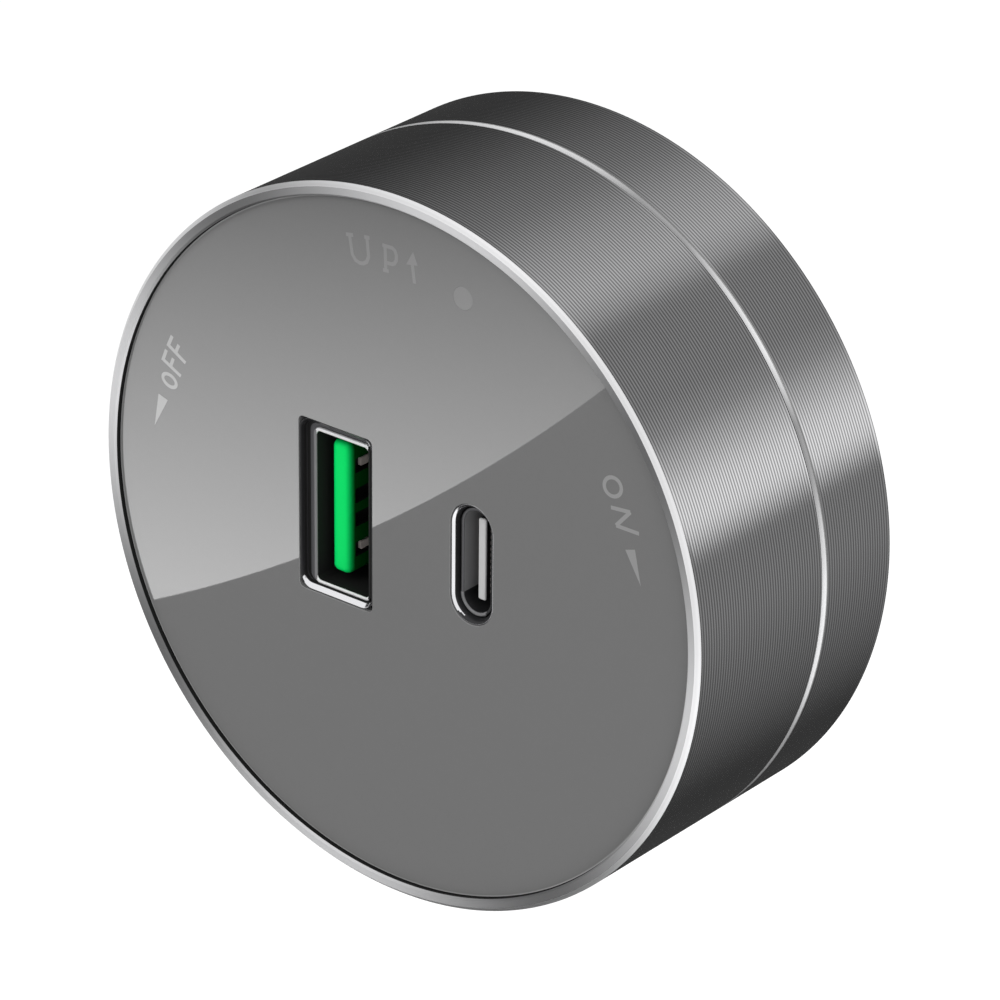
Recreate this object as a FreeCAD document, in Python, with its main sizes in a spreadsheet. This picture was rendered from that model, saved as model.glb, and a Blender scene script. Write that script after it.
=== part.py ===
import FreeCAD, Part
import os
import Sketcher

# Power track USB adapter: a round turning knob with two USB sockets on a fixed
# base, and a crosshead behind that turns into a lighting or power track.
# Millimetres. The origin is the centre of the base's seat on the track, +Y runs
# back into the track, +Z is up and the face looks along -Y. It is drawn ON.

doc = FreeCAD.newDocument("power_track_usb_adapter")
dims = doc.addObject("Spreadsheet::Sheet", "dims")
places = doc.addObject("Spreadsheet::Sheet", "places")

# Driving sizes
driving_sizes = {
    # turned rings
    "outer_radius": 29.0,
    "ring_wall": 1.05,
    "case_fit": 0.1,
    "rim_chamfer": 0.4,
    "seam_chamfer": 0.35,
    "edge_chamfer": 0.1,
    "rear_ring_length": 8.25,
    "seam_gap": 0.3,
    "seat_proud": 0.05,
    # stack from the seat forward to the rim
    "base_floor": 3.0,
    "boss_height": 2.5,
    "thrust_gap": 0.2,
    "flange_thickness": 1.6,
    "cover_thickness": 1.4,
    "tail_room": 1.1,
    "board_thickness": 1.6,
    "bay_depth": 8.5,
    "bulkhead": 1.4,
    "adhesive_thickness": 0.2,
    "plate_thickness": 1.5,
    "rim_height": 0.5,
    # knob case
    "cup_wall": 1.55,
    "plate_ledge": 0.45,
    "plate_fit": 0.05,
    "plate_edge": 0.15,
    "adhesive_inset": 1.5,
    "case_inset": 0.1,
    "cover_flange": 1.2,
    "dish_wall": 1.2,
    "dish_gap": 0.6,
    "board_fit": 0.2,
    "post_inset": 3.2,
    "post_angle": 30.0,
    "post_radius": 2.6,
    "spigot_radius": 1.9,
    "spigot_fit": 0.1,
    "hub_screw_inset": 3.5,
    "hub_screw_angle": 45.0,
    "hub_boss_radius": 2.2,
    "hub_boss_gap": 0.1,
    # base
    "base_wall": 1.65,
    "base_wall_drop": 0.2,
    "journal_inset": 12.2,
    "running_clearance": 0.06,
    "boss_wall": 2.9,
    "rib_width": 2.4,
    "stop_gap": 0.3,
    "hub_flange_inset": 2.6,
    "hub_drop": 0.3,
    # retaining ring
    "clip_thickness": 0.8,
    "clip_groove": 0.8,
    "clip_width": 3.3,
    "clip_recess_depth": 1.8,
    "clip_recess_fit": 0.7,
    "clip_gap": 0.1,
    "clip_opening": 6.0,
    "clip_ear_radius": 1.6,
    "clip_ear_hole": 0.6,
    "clip_ear_inset": 0.4,
    # track slot and crosshead
    "slot_width": 8.4,
    "head_clearance": 0.4,
    "neck_clearance": 0.3,
    "lug_clearance": 0.3,
    "lug_inset": 1.85,
    "lug_length": 7.5,
    "lug_height": 2.6,
    "lug_corner": 1.0,
    "lug_lead": 0.5,
    "lip_gap": 4.5,
    "head_core": 4.0,
    "head_cap": 4.0,
    "head_length": 26.0,
    "head_corner": 2.0,
    "head_lead": 0.6,
    "foot_radius": 7.0,
    "foot_thickness": 3.0,
    "foot_fit": 0.05,
    "foot_screw_circle": 5.2,
    "strip_thickness": 0.8,
    "strip_width": 3.0,
    "strip_offset": 2.2,
    "strip_fit": 0.05,
    "strip_tail": 1.0,
    "contact_width": 4.0,
    "contact_height": 4.0,
    "contact_reach": 1.2,
    "contact_round": 0.5,
    # screws
    "screw_radius": 1.0,
    "screw_hole_fit": 0.05,
    "screw_head_radius": 1.9,
    "screw_head_height": 0.8,
    "cover_screw_length": 6.0,
    "hub_screw_length": 4.0,
    "foot_screw_length": 5.6,
    "head_screw_length": 8.0,
    "head_screw_sink": 1.4,
    "pilot_spare": 0.4,
    "recess_arm": 1.1,
    "recess_width": 0.4,
    "recess_depth": 0.5,
    # click detent
    "housing_width": 5.0,
    "housing_gap": 0.6,
    "housing_end_gap": 1.0,
    "housing_floor_gap": 0.3,
    "housing_bottom": 0.8,
    "plunger_radius": 1.2,
    "plunger_fit": 0.05,
    "plunger_length": 3.5,
    "plunger_nose": 0.7,
    "tip_gap": 0.3,
    "notch_radius": 1.5,
    "notch_depth": 0.9,
    "spring_wire": 0.2,
    "spring_turns": 4.5,
    # sockets
    "port_height": 1.2,
    "port_fit": 0.1,
    "usb_a_offset": 5.7,
    "usb_a_flare_side": 0.7,
    "usb_a_flare_end": 0.65,
    "usb_a_hole_corner": 0.5,
    "usb_a_shell_width": 5.7,
    "usb_a_shell_height": 13.1,
    "usb_a_shell_corner": 0.6,
    "usb_a_wall": 0.3,
    "usb_a_mouth_depth": 0.9,
    "usb_a_mouth_drop": 0.1,
    "usb_a_tongue_thickness": 1.84,
    "usb_a_tongue_end_gap": 0.7,
    "usb_a_tongue_gap": 0.9,
    "usb_a_tongue_setback": 0.5,
    "usb_a_block": 1.6,
    "usb_a_bar": 0.45,
    "usb_a_slot_depth": 0.5,
    "usb_a_slot_side": 0.1,
    "usb_a_contact_thickness": 0.25,
    "usb_a_contact_width": 1.0,
    "usb_a_outer_contact": 3.5,
    "usb_a_inner_contact": 1.0,
    "usb_a_outer_setback": 0.2,
    "usb_a_inner_setback": 1.0,
    "usb_c_offset": 7.4,
    "usb_c_trim_side": 0.47,
    "usb_c_trim_end": 0.48,
    "usb_c_shell_width": 3.16,
    "usb_c_shell_height": 8.94,
    "usb_c_wall": 0.3,
    "usb_c_shell_drop": 0.65,
    "usb_c_trim_drop": 0.1,
    "usb_c_tongue_thickness": 0.7,
    "usb_c_tongue_end_gap": 0.825,
    "usb_c_tongue_setback": 0.6,
    "usb_c_block": 1.6,
    "usb_c_contact_pitch": 0.5,
    "usb_c_contact_width": 0.25,
    "usb_c_contact_thickness": 0.08,
    "usb_c_contact_length": 4.5,
    # indicator
    "dot_radius": 0.9,
    "dot_inset": 4.45,
    "dot_angle": 74.0,
    "dot_fit": 0.05,
    "pipe_flange_radius": 1.8,
    "pipe_flange": 0.8,
    "led_width": 1.6,
    "led_height": 0.8,
    "led_tall": 1.0,
    "led_gap": 0.2,
    # leads and can ends
    "lead_width": 0.4,
    "lead_reach": 1.0,
    "lead_thickness": 0.2,
    "crimp_start": 1.2,
    "crimp_width": 0.8,
    "crimp_depth": 0.4,
}

# What stands on the circuit board: each part's direction from the axis, how far its
# middle lies in from the board's edge, and its sizes
board_parts = {
    "bridge_rectifier": {"angle": 137.6, "inset": 6.9, "width": 4.7, "length": 3.9, "tall": 1.5},
    "controller_chip": {"angle": 87.9, "inset": 10.7, "width": 4.9, "length": 3.9, "tall": 1.5},
    "input_capacitor": {"angle": 181.0, "inset": 8.7, "radius": 4.0, "length": 12.5},
    "filter_capacitor": {"angle": 237.8, "inset": 8.2, "radius": 4.0, "length": 11.0},
    "fuse_resistor": {"angle": 99.0, "inset": 5.0, "radius": 1.5, "length": 8.0},
    "safety_capacitor": {"angle": 51.6, "inset": 5.7, "radius": 3.4, "length": 3.2},
    "line_choke": {"angle": 116.2, "inset": 9.3, "radius": 2.8, "waist": 2.0, "tall": 7.0, "flange": 1.0},
    "output_capacitor": {
        "angle": 11.3,
        "inset": 8.9,
        "radius": 3.15,
        "foot": 5.6,
        "foot_tall": 0.8,
        "tall": 7.5,
    },
    "second_capacitor": {"angle": 349.5, "inset": 4.5},
    "transformer": {
        "angle": 306.0,
        "inset": 9.7,
        "core_width": 13.0,
        "core_length": 12.0,
        "core_tall": 6.6,
        "window_width": 9.4,
        "window_length": 8.0,
        "leg": 3.6,
        "winding_width": 9.0,
        "winding_length": 7.8,
        "winding_tall": 7.6,
        "slack": 0.05,
    },
}
for part, sizes in board_parts.items():
    driving_sizes.update({f"{part}_{name}": size for name, size in sizes.items()})

# Places worked out from the driving sizes: radii, and heights along Y
worked_out_places = {
    "ring_bore": "dims.outer_radius - dims.ring_wall",
    "case_radius": "ring_bore - dims.case_fit",
    "floor_front": "-dims.base_floor",
    "boss_front": "floor_front - dims.boss_height",
    "flange_rear": "boss_front - dims.thrust_gap",
    "cover_rear": "flange_rear - dims.flange_thickness",
    "cover_front": "cover_rear - dims.cover_thickness",
    "board_rear": "cover_front - dims.tail_room",
    "board_front": "board_rear - dims.board_thickness",
    "bay_front": "board_front - dims.bay_depth",
    "bulkhead_front": "bay_front - dims.bulkhead",
    "plate_rear": "bulkhead_front - dims.adhesive_thickness",
    "plate_front": "plate_rear - dims.plate_thickness",
    "rim_front": "plate_front - dims.rim_height",
    "seam_rear": "-dims.rear_ring_length",
    "seam_front": "seam_rear - dims.seam_gap",
    "base_wall_front": "seam_rear + dims.base_wall_drop",
    "cover_flange_rear": "seam_front - dims.case_inset",
    "cover_flange_front": "cover_flange_rear - dims.cover_flange",
    "cup_bore": "case_radius - dims.cup_wall",
    "film_pocket": "case_radius - dims.plate_ledge",
    "plate_radius": "ring_bore - 2 * dims.plate_fit",
    "base_wall_bore": "case_radius - dims.base_wall",
    "dish_radius": "base_wall_bore - dims.dish_gap",
    "dish_bore": "dish_radius - dims.dish_wall",
    "board_radius": "dish_bore - dims.board_fit",
    "post_circle": "board_radius - dims.post_inset",
    "hub_flange_radius": "dish_radius - dims.hub_flange_inset",
    "hub_screw_circle": "hub_flange_radius - dims.hub_screw_inset",
    "journal_radius": "base_wall_bore - dims.journal_inset",
    "bearing_bore": "journal_radius + dims.running_clearance",
    "boss_radius": "bearing_bore + dims.boss_wall",
    "clip_recess_front": "-dims.clip_recess_depth",
    "clip_front": "clip_recess_front + dims.clip_gap",
    "clip_rear": "clip_front + dims.clip_thickness",
    "clip_bore": "journal_radius - dims.clip_groove",
    "clip_radius": "clip_bore + dims.clip_width",
    "clip_recess_radius": "clip_radius + dims.clip_recess_fit",
    "hub_rear": "-dims.hub_drop",
    "foot_front": "hub_rear - dims.foot_thickness",
    "head_width": "dims.slot_width - 2 * dims.head_clearance",
    "neck_radius": "dims.slot_width / 2 - dims.neck_clearance",
    "lug_width": "dims.slot_width - 2 * dims.lug_clearance",
    "lug_middle": "case_radius - dims.lug_inset - dims.lug_length / 2",
    "head_front": "dims.lip_gap",
    "head_split": "head_front + dims.head_core",
    "head_rear": "head_split + dims.head_cap",
    "head_end": "dims.head_length / 2",
    "strip_inner": "dims.strip_offset - dims.strip_thickness / 2",
    "strip_middle": "(strip_inner + head_end) / 2",
    "strip_slot_width": "dims.strip_width + 2 * dims.strip_fit",
    "strip_slot_thickness": "dims.strip_thickness + 2 * dims.strip_fit",
    "strip_front": "board_front - dims.strip_tail",
    "screw_hole": "dims.screw_radius + dims.screw_hole_fit",
    "screw_head_hole": "dims.screw_head_radius + dims.screw_hole_fit",
    "housing_inner": "boss_radius + dims.housing_gap",
    "housing_outer": "base_wall_bore - dims.housing_end_gap",
    "housing_rear": "floor_front - dims.housing_floor_gap",
    "plunger_height": "(cover_rear + housing_rear) / 2",
    "plunger_tip": "base_wall_bore - dims.tip_gap",
    "plunger_foot": "plunger_tip - dims.plunger_length",
    "spring_foot": "housing_inner + dims.housing_bottom",
    "notch_centre": "base_wall_bore + dims.notch_depth - dims.notch_radius",
    "usb_a_x": "-dims.usb_a_offset",
    "usb_a_rim": "plate_front + dims.usb_a_mouth_depth",
    "usb_a_mouth": "plate_front + dims.usb_a_mouth_drop",
    "usb_a_hole_width": "dims.usb_a_shell_width + 2 * dims.usb_a_flare_side",
    "usb_a_hole_height": "dims.usb_a_shell_height + 2 * dims.usb_a_flare_end",
    "usb_a_opening_width": "dims.usb_a_shell_width - 2 * dims.usb_a_wall",
    "usb_a_opening_height": "dims.usb_a_shell_height - 2 * dims.usb_a_wall",
    "usb_a_tongue_height": "usb_a_opening_height - 2 * dims.usb_a_tongue_end_gap",
    "usb_a_tongue_left": "usb_a_x - usb_a_opening_width / 2 + dims.usb_a_tongue_gap",
    "usb_a_tongue_right": "usb_a_tongue_left + dims.usb_a_tongue_thickness",
    "usb_a_tongue_front": "usb_a_rim + dims.usb_a_tongue_setback",
    "usb_a_slot_front": "usb_a_tongue_front + dims.usb_a_bar",
    "usb_a_slot_floor": "usb_a_tongue_right - dims.usb_a_slot_depth",
    "usb_a_block_front": "board_front - dims.usb_a_block",
    "usb_c_x": "dims.usb_c_offset",
    "usb_c_rim": "plate_front + dims.usb_c_shell_drop",
    "usb_c_trim_front": "plate_front + dims.usb_c_trim_drop",
    "usb_c_hole_width": "dims.usb_c_shell_width + 2 * dims.usb_c_trim_side",
    "usb_c_hole_height": "dims.usb_c_shell_height + 2 * dims.usb_c_trim_end",
    "usb_c_opening_width": "dims.usb_c_shell_width - 2 * dims.usb_c_wall",
    "usb_c_opening_height": "dims.usb_c_shell_height - 2 * dims.usb_c_wall",
    "usb_c_tongue_height": "usb_c_opening_height - 2 * dims.usb_c_tongue_end_gap",
    "usb_c_tongue_front": "usb_c_rim + dims.usb_c_tongue_setback",
    "usb_c_block_front": "board_front - dims.usb_c_block",
    "dot_circle": "plate_radius - dims.dot_inset",
    "dot_x": "dot_circle * cos(dims.dot_angle)",
    "dot_z": "dot_circle * sin(dims.dot_angle)",
    "pipe_rear": "board_front - dims.led_tall - dims.led_gap",
}
for part in board_parts:
    reach = f"(board_radius - dims.{part}_inset)"
    worked_out_places[f"{part}_x"] = f"{reach} * cos(dims.{part}_angle)"
    worked_out_places[f"{part}_z"] = f"{reach} * sin(dims.{part}_angle)"


def fill(sheet, cells, prefix=""):
    for row, (alias, content) in enumerate(cells.items(), 1):
        sheet.set(f"A{row}", alias)
        sheet.set(f"B{row}", prefix + str(content))
        sheet.setAlias(f"B{row}", alias)


fill(dims, driving_sizes)
fill(places, worked_out_places, "=")
doc.recompute()

pieces = []


# Drawing helpers. Every place and size is an expression on the two sheets.
def number(expression):
    return float(dims.evalExpression(expression))


def new_body(label):
    body = doc.addObject("PartDesign::Body", label)
    body.Label = label
    pieces.append(body)
    return body


def origin_part(body, role):
    return next(part for part in body.Origin.OriginFeatures if part.Role == role)


def attached_sketch(body, plane):
    sketch = body.newObject("Sketcher::SketchObject", body.Label + "_outline")
    sketch.AttachmentSupport = [(origin_part(body, plane), "")]
    sketch.MapMode = "FlatFace"
    return sketch


def sketch_across(body, height):
    # across the axis at Y = height, seen from the front: X to the right, Z up
    sketch = attached_sketch(body, "XZ_Plane")
    sketch.setExpression("AttachmentOffset.Base.z", f"-({height})")
    return sketch


def sketch_beside(body, axis_x="0", axis_z="0"):
    # half profile beside an axis along Y: radius to the right, Y up
    sketch = attached_sketch(body, "XY_Plane")
    sketch.setExpression("AttachmentOffset.Base.x", axis_x)
    sketch.setExpression("AttachmentOffset.Base.z", axis_z)
    return sketch


def hold(sketch, kind, items, expression):
    index = sketch.addConstraint(Sketcher.Constraint(kind, *items, number(expression)))
    sketch.setExpression(f"Constraints[{index}]", expression)


def hold_point(sketch, shape, point, x, y):
    hold(sketch, "DistanceX", (-1, 1, shape, point), x)
    hold(sketch, "DistanceY", (-1, 1, shape, point), y)


def polygon(sketch, corners):
    points = [FreeCAD.Vector(number(x), number(y), 0) for x, y in corners]
    following = points[1:] + points[:1]
    lines = sketch.addGeometry([Part.LineSegment(a, b) for a, b in zip(points, following)])
    for line, after in zip(lines, lines[1:] + lines[:1]):
        sketch.addConstraint(Sketcher.Constraint("Coincident", line, 2, after, 1))
    for line, (x, y) in zip(lines, corners):
        hold_point(sketch, line, 1, x, y)


def rectangle(sketch, x, z, width, height):
    left, right = f"{x} - ({width}) / 2", f"{x} + ({width}) / 2"
    low, high = f"{z} - ({height}) / 2", f"{z} + ({height}) / 2"
    polygon(sketch, [(left, low), (right, low), (right, high), (left, high)])


def circle(sketch, x, z, radius):
    centre = FreeCAD.Vector(number(x), number(z), 0)
    shape = sketch.addGeometry(Part.Circle(centre, FreeCAD.Vector(0, 0, 1), number(radius)))
    hold_point(sketch, shape, 3, x, z)
    hold(sketch, "Radius", (shape,), radius)


def rounded(sketch, x, z, width, height, corner):
    # rectangle with round corners; a stadium where the corner is half the width
    half_x, half_z = f"(({width}) / 2 - {corner})", f"(({height}) / 2 - {corner})"
    is_stadium = number(half_x) < 0.001
    quarters = [("-", "-", 180), ("+", "-", 270), ("+", "+", 0), ("-", "+", 90)]
    centres = [(f"{x} {sx} {half_x}", f"{z} {sz} {half_z}", start) for sx, sz, start in quarters]
    sweep = 90
    if is_stadium:
        centres = [(x, f"{z} - {half_z}", 180), (x, f"{z} + {half_z}", 0)]
        sweep = 180
    radius = number(corner)
    up = FreeCAD.Vector(0, 0, 1)
    circles = []
    for cx, cz, start in centres:
        ring = Part.Circle(FreeCAD.Vector(number(cx), number(cz), 0), up, radius)
        first = FreeCAD.Units.Quantity(start, "deg").getValueAs("rad").Value
        turn = FreeCAD.Units.Quantity(sweep, "deg").getValueAs("rad").Value
        circles.append(Part.ArcOfCircle(ring, first, first + turn))
    arcs = sketch.addGeometry(circles)
    for index, (arc, (cx, cz, _)) in enumerate(zip(arcs, centres)):
        hold_point(sketch, arc, 3, cx, cz)
        hold(sketch, "Radius", (arc,), corner)
        after = (index + 1) % len(arcs)
        line = sketch.addGeometry(Part.LineSegment(circles[index].EndPoint, circles[after].StartPoint))
        sketch.addConstraint(Sketcher.Constraint("Tangent", arc, 2, line, 1))
        sketch.addConstraint(Sketcher.Constraint("Tangent", line, 2, arcs[after], 1))


# Feature helpers. Each one tests that it really added or took away material.
def volume(body):
    return 0.0 if body.Shape.isNull() else body.Shape.Volume


def feature(body, kind, sketch, adds):
    before = volume(body)
    item = body.newObject("PartDesign::" + kind, f"{body.Label}_{kind.lower()}")
    item.Profile = sketch
    sketch.Visibility = False
    return item, before, adds


def settle(body, made):
    item, before, adds = made
    doc.recompute()
    change = volume(body) - before
    if (change <= 0) if adds else (change >= 0):
        raise ValueError(f"{item.Name} changed the volume by {change:.4f}")
    return item


def pad(body, sketch, length, rearward=False):
    made = feature(body, "Pad", sketch, True)
    made[0].setExpression("Length", length)
    made[0].Reversed = rearward
    return settle(body, made)


def pocket(body, sketch, depth, rearward=False):
    made = feature(body, "Pocket", sketch, False)
    made[0].setExpression("Length", depth)
    made[0].Reversed = not rearward
    return settle(body, made)


def turned(body, corners, axis_x="0", axis_z="0"):
    sketch = sketch_beside(body, axis_x, axis_z)
    polygon(sketch, corners)
    made = feature(body, "Revolution", sketch, True)
    made[0].ReferenceAxis = (sketch, ["V_Axis"])
    made[0].Angle = 360
    return settle(body, made)


def polar(body, originals, count, angle=360.0, reverse=False):
    pattern = body.newObject("PartDesign::PolarPattern", body.Label + "_polar")
    pattern.Originals = originals
    pattern.Axis = (origin_part(body, "Y_Axis"), [""])
    pattern.Angle = angle
    pattern.Occurrences = count
    pattern.Reversed = reverse
    body.Tip = pattern
    doc.recompute()
    return pattern


def chamfer_edges(body, kind, size, chosen):
    # chamfer or fillet the edges whose every vertex passes the test
    base = body.Tip
    names = []
    for index, edge in enumerate(base.Shape.Edges, 1):
        if all(chosen(vertex.Point) for vertex in edge.Vertexes):
            names.append(f"Edge{index}")
    before = volume(body)
    item = body.newObject("PartDesign::" + kind, f"{body.Label}_{kind.lower()}")
    item.Base = (base, names)
    item.setExpression("Size" if kind == "Chamfer" else "Radius", size)
    return settle(body, (item, before, False))


def at(value, expression):
    return abs(value - number(expression)) < 0.001


def on_circle(radius, angle):
    return f"({radius}) * cos({angle})", f"({radius}) * sin({angle})"


def post_points():
    return [on_circle("places.post_circle", f"dims.post_angle + {turn}") for turn in (0, 120, 240)]


def hub_screw_points():
    quarters = (0, 90, 180, 270)
    return [on_circle("places.hub_screw_circle", f"dims.hub_screw_angle + {turn}") for turn in quarters]


def foot_screw_points():
    return [("dims.foot_screw_circle", "0"), ("-dims.foot_screw_circle", "0")]


def circles_at(sketch, points, radius):
    for x, z in points:
        circle(sketch, x, z, radius)


def strip_slots(sketch):
    for side in ("", "-"):
        rectangle(sketch, "0", side + "dims.strip_offset", "places.strip_slot_width",
                  "places.strip_slot_thickness")


# Turned aluminium rings
def make_front_ring():
    body = new_body("front_ring")
    turned(body, [
        ("places.ring_bore", "places.rim_front"),
        ("dims.outer_radius - dims.rim_chamfer", "places.rim_front"),
        ("dims.outer_radius", "places.rim_front + dims.rim_chamfer"),
        ("dims.outer_radius", "places.seam_front - dims.edge_chamfer"),
        ("dims.outer_radius - dims.edge_chamfer", "places.seam_front"),
        ("places.ring_bore", "places.seam_front"),
    ])


def make_rear_ring():
    body = new_body("rear_ring")
    turned(body, [
        ("places.ring_bore", "places.seam_rear"),
        ("dims.outer_radius - dims.seam_chamfer", "places.seam_rear"),
        ("dims.outer_radius", "places.seam_rear + dims.seam_chamfer"),
        ("dims.outer_radius", "-dims.seat_proud - dims.edge_chamfer"),
        ("dims.outer_radius - dims.edge_chamfer", "-dims.seat_proud"),
        ("places.ring_bore", "-dims.seat_proud"),
    ])


# Moulded base: floor, wall, bearing boss, stop ribs, detent notches, slot lugs
def make_base_plate():
    body = new_body("base_plate")
    turned(body, [
        ("places.bearing_bore", "places.clip_recess_front"),
        ("places.clip_recess_radius", "places.clip_recess_front"),
        ("places.clip_recess_radius", "0"),
        ("places.case_radius", "0"),
        ("places.case_radius", "places.base_wall_front"),
        ("places.base_wall_bore", "places.base_wall_front"),
        ("places.base_wall_bore", "places.floor_front"),
        ("places.boss_radius", "places.floor_front"),
        ("places.boss_radius", "places.boss_front"),
        ("places.bearing_bore", "places.boss_front"),
    ])
    rib_inner = "(places.boss_radius - dims.boss_wall / 2)"
    rib_outer = "(places.base_wall_bore + dims.base_wall / 2)"
    rib_middle = f"({rib_inner} + {rib_outer}) / 2"
    rib_length = f"{rib_outer} - {rib_inner}"
    rib_side = "(dims.housing_width / 2 + dims.stop_gap + dims.rib_width / 2)"
    off_rib = sketch_across(body, "places.floor_front")
    rectangle(off_rib, rib_middle, rib_side, rib_length, "dims.rib_width")
    off_stop = pad(body, off_rib, "dims.boss_height")
    ribs, rib_sweep = 6, 225.0
    polar(body, [off_stop], ribs, rib_sweep, True)
    on_rib = sketch_across(body, "places.floor_front")
    rectangle(on_rib, f"-{rib_side}", f"-({rib_middle})", "dims.rib_width", rib_length)
    pad(body, on_rib, "dims.boss_height")
    notches = sketch_across(body, "places.base_wall_front")
    circle(notches, "0", "-places.notch_centre", "dims.notch_radius")
    circle(notches, "places.notch_centre", "0", "dims.notch_radius")
    pocket(body, notches, "places.floor_front - places.base_wall_front", True)
    lugs = sketch_across(body, "0")
    for side in ("", "-"):
        rounded(lugs, side + "places.lug_middle", "0", "dims.lug_length", "places.lug_width",
                "dims.lug_corner")
    pad(body, lugs, "dims.lug_height", True)
    chamfer_edges(body, "Chamfer", "dims.lug_lead", lambda point: at(point.y, "dims.lug_height"))


# Knob case
def make_knob_cup():
    body = new_body("knob_cup")
    turned(body, [
        ("0", "places.bulkhead_front"),
        ("places.film_pocket", "places.bulkhead_front"),
        ("places.film_pocket", "places.plate_rear"),
        ("places.case_radius", "places.plate_rear"),
        ("places.case_radius", "places.cover_flange_front"),
        ("places.cup_bore", "places.cover_flange_front"),
        ("places.cup_bore", "places.bay_front"),
        ("0", "places.bay_front"),
    ])
    posts = sketch_across(body, "places.bay_front")
    circles_at(posts, post_points(), "dims.post_radius")
    pad(body, posts, "dims.bay_depth", True)
    spigots = sketch_across(body, "places.board_front")
    circles_at(spigots, post_points(), "dims.spigot_radius")
    pad(body, spigots, "dims.board_thickness + dims.tail_room", True)
    pilots = sketch_across(body, "places.cover_front")
    circles_at(pilots, post_points(), "dims.screw_radius")
    pocket(body, pilots, "dims.cover_screw_length - dims.cover_thickness + dims.pilot_spare")
    ports = sketch_across(body, "places.bulkhead_front")
    fit = "2 * dims.port_fit"
    rounded(ports, "places.usb_a_x", "dims.port_height", f"dims.usb_a_shell_width + {fit}",
            f"dims.usb_a_shell_height + {fit}", "dims.usb_a_shell_corner")
    rounded(ports, "places.usb_c_x", "dims.port_height", f"dims.usb_c_shell_width + {fit}",
            f"dims.usb_c_shell_height + {fit}", "(dims.usb_c_shell_width / 2 + dims.port_fit)")
    circle(ports, "places.dot_x", "places.dot_z", "dims.dot_radius + dims.dot_fit")
    pocket(body, ports, "dims.bulkhead", True)


def port_holes(sketch):
    rounded(sketch, "places.usb_a_x", "dims.port_height", "places.usb_a_hole_width",
            "places.usb_a_hole_height", "dims.usb_a_hole_corner")
    rounded(sketch, "places.usb_c_x", "dims.port_height", "places.usb_c_hole_width",
            "places.usb_c_hole_height", "(places.usb_c_hole_width / 2)")
    circle(sketch, "places.dot_x", "places.dot_z", "dims.dot_radius + dims.dot_fit")


def make_face_plate():
    body = new_body("face_plate")
    turned(body, [
        ("0", "places.plate_front"),
        ("places.plate_radius - dims.plate_edge", "places.plate_front"),
        ("places.plate_radius", "places.plate_front + dims.plate_edge"),
        ("places.plate_radius", "places.plate_rear"),
        ("0", "places.plate_rear"),
    ])
    holes = sketch_across(body, "places.plate_front")
    port_holes(holes)
    pocket(body, holes, "dims.plate_thickness", True)


def make_plate_adhesive():
    body = new_body("plate_adhesive")
    disc = sketch_across(body, "places.bulkhead_front")
    circle(disc, "0", "0", "places.plate_radius - dims.adhesive_inset")
    port_holes(disc)
    pad(body, disc, "dims.adhesive_thickness")


def make_rear_cover():
    body = new_body("rear_cover")
    turned(body, [
        ("0", "places.cover_front"),
        ("places.dish_bore", "places.cover_front"),
        ("places.dish_bore", "places.cover_flange_front"),
        ("places.case_radius", "places.cover_flange_front"),
        ("places.case_radius", "places.cover_flange_rear"),
        ("places.dish_radius", "places.cover_flange_rear"),
        ("places.dish_radius", "places.cover_rear"),
        ("0", "places.cover_rear"),
    ])
    post_bosses = sketch_across(body, "places.cover_front")
    circles_at(post_bosses, post_points(), "dims.post_radius")
    pad(body, post_bosses, "dims.tail_room")
    hub_bosses = sketch_across(body, "places.cover_front")
    circles_at(hub_bosses, hub_screw_points(), "dims.hub_boss_radius")
    pad(body, hub_bosses, "dims.tail_room - dims.hub_boss_gap")
    spigot_holes = sketch_across(body, "places.board_rear")
    circles_at(spigot_holes, post_points(), "dims.spigot_radius + dims.spigot_fit")
    pocket(body, spigot_holes, "dims.tail_room", True)
    heads = sketch_across(body, "places.cover_rear")
    circles_at(heads, post_points(), "places.screw_head_hole")
    pocket(body, heads, "dims.screw_head_height")
    through = sketch_across(body, "places.cover_rear")
    circles_at(through, post_points(), "places.screw_hole")
    strip_slots(through)
    pocket(body, through, "dims.cover_thickness")
    pilots = sketch_across(body, "places.cover_rear")
    circles_at(pilots, hub_screw_points(), "dims.screw_radius")
    pocket(body, pilots, "dims.cover_thickness + dims.tail_room")


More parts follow.
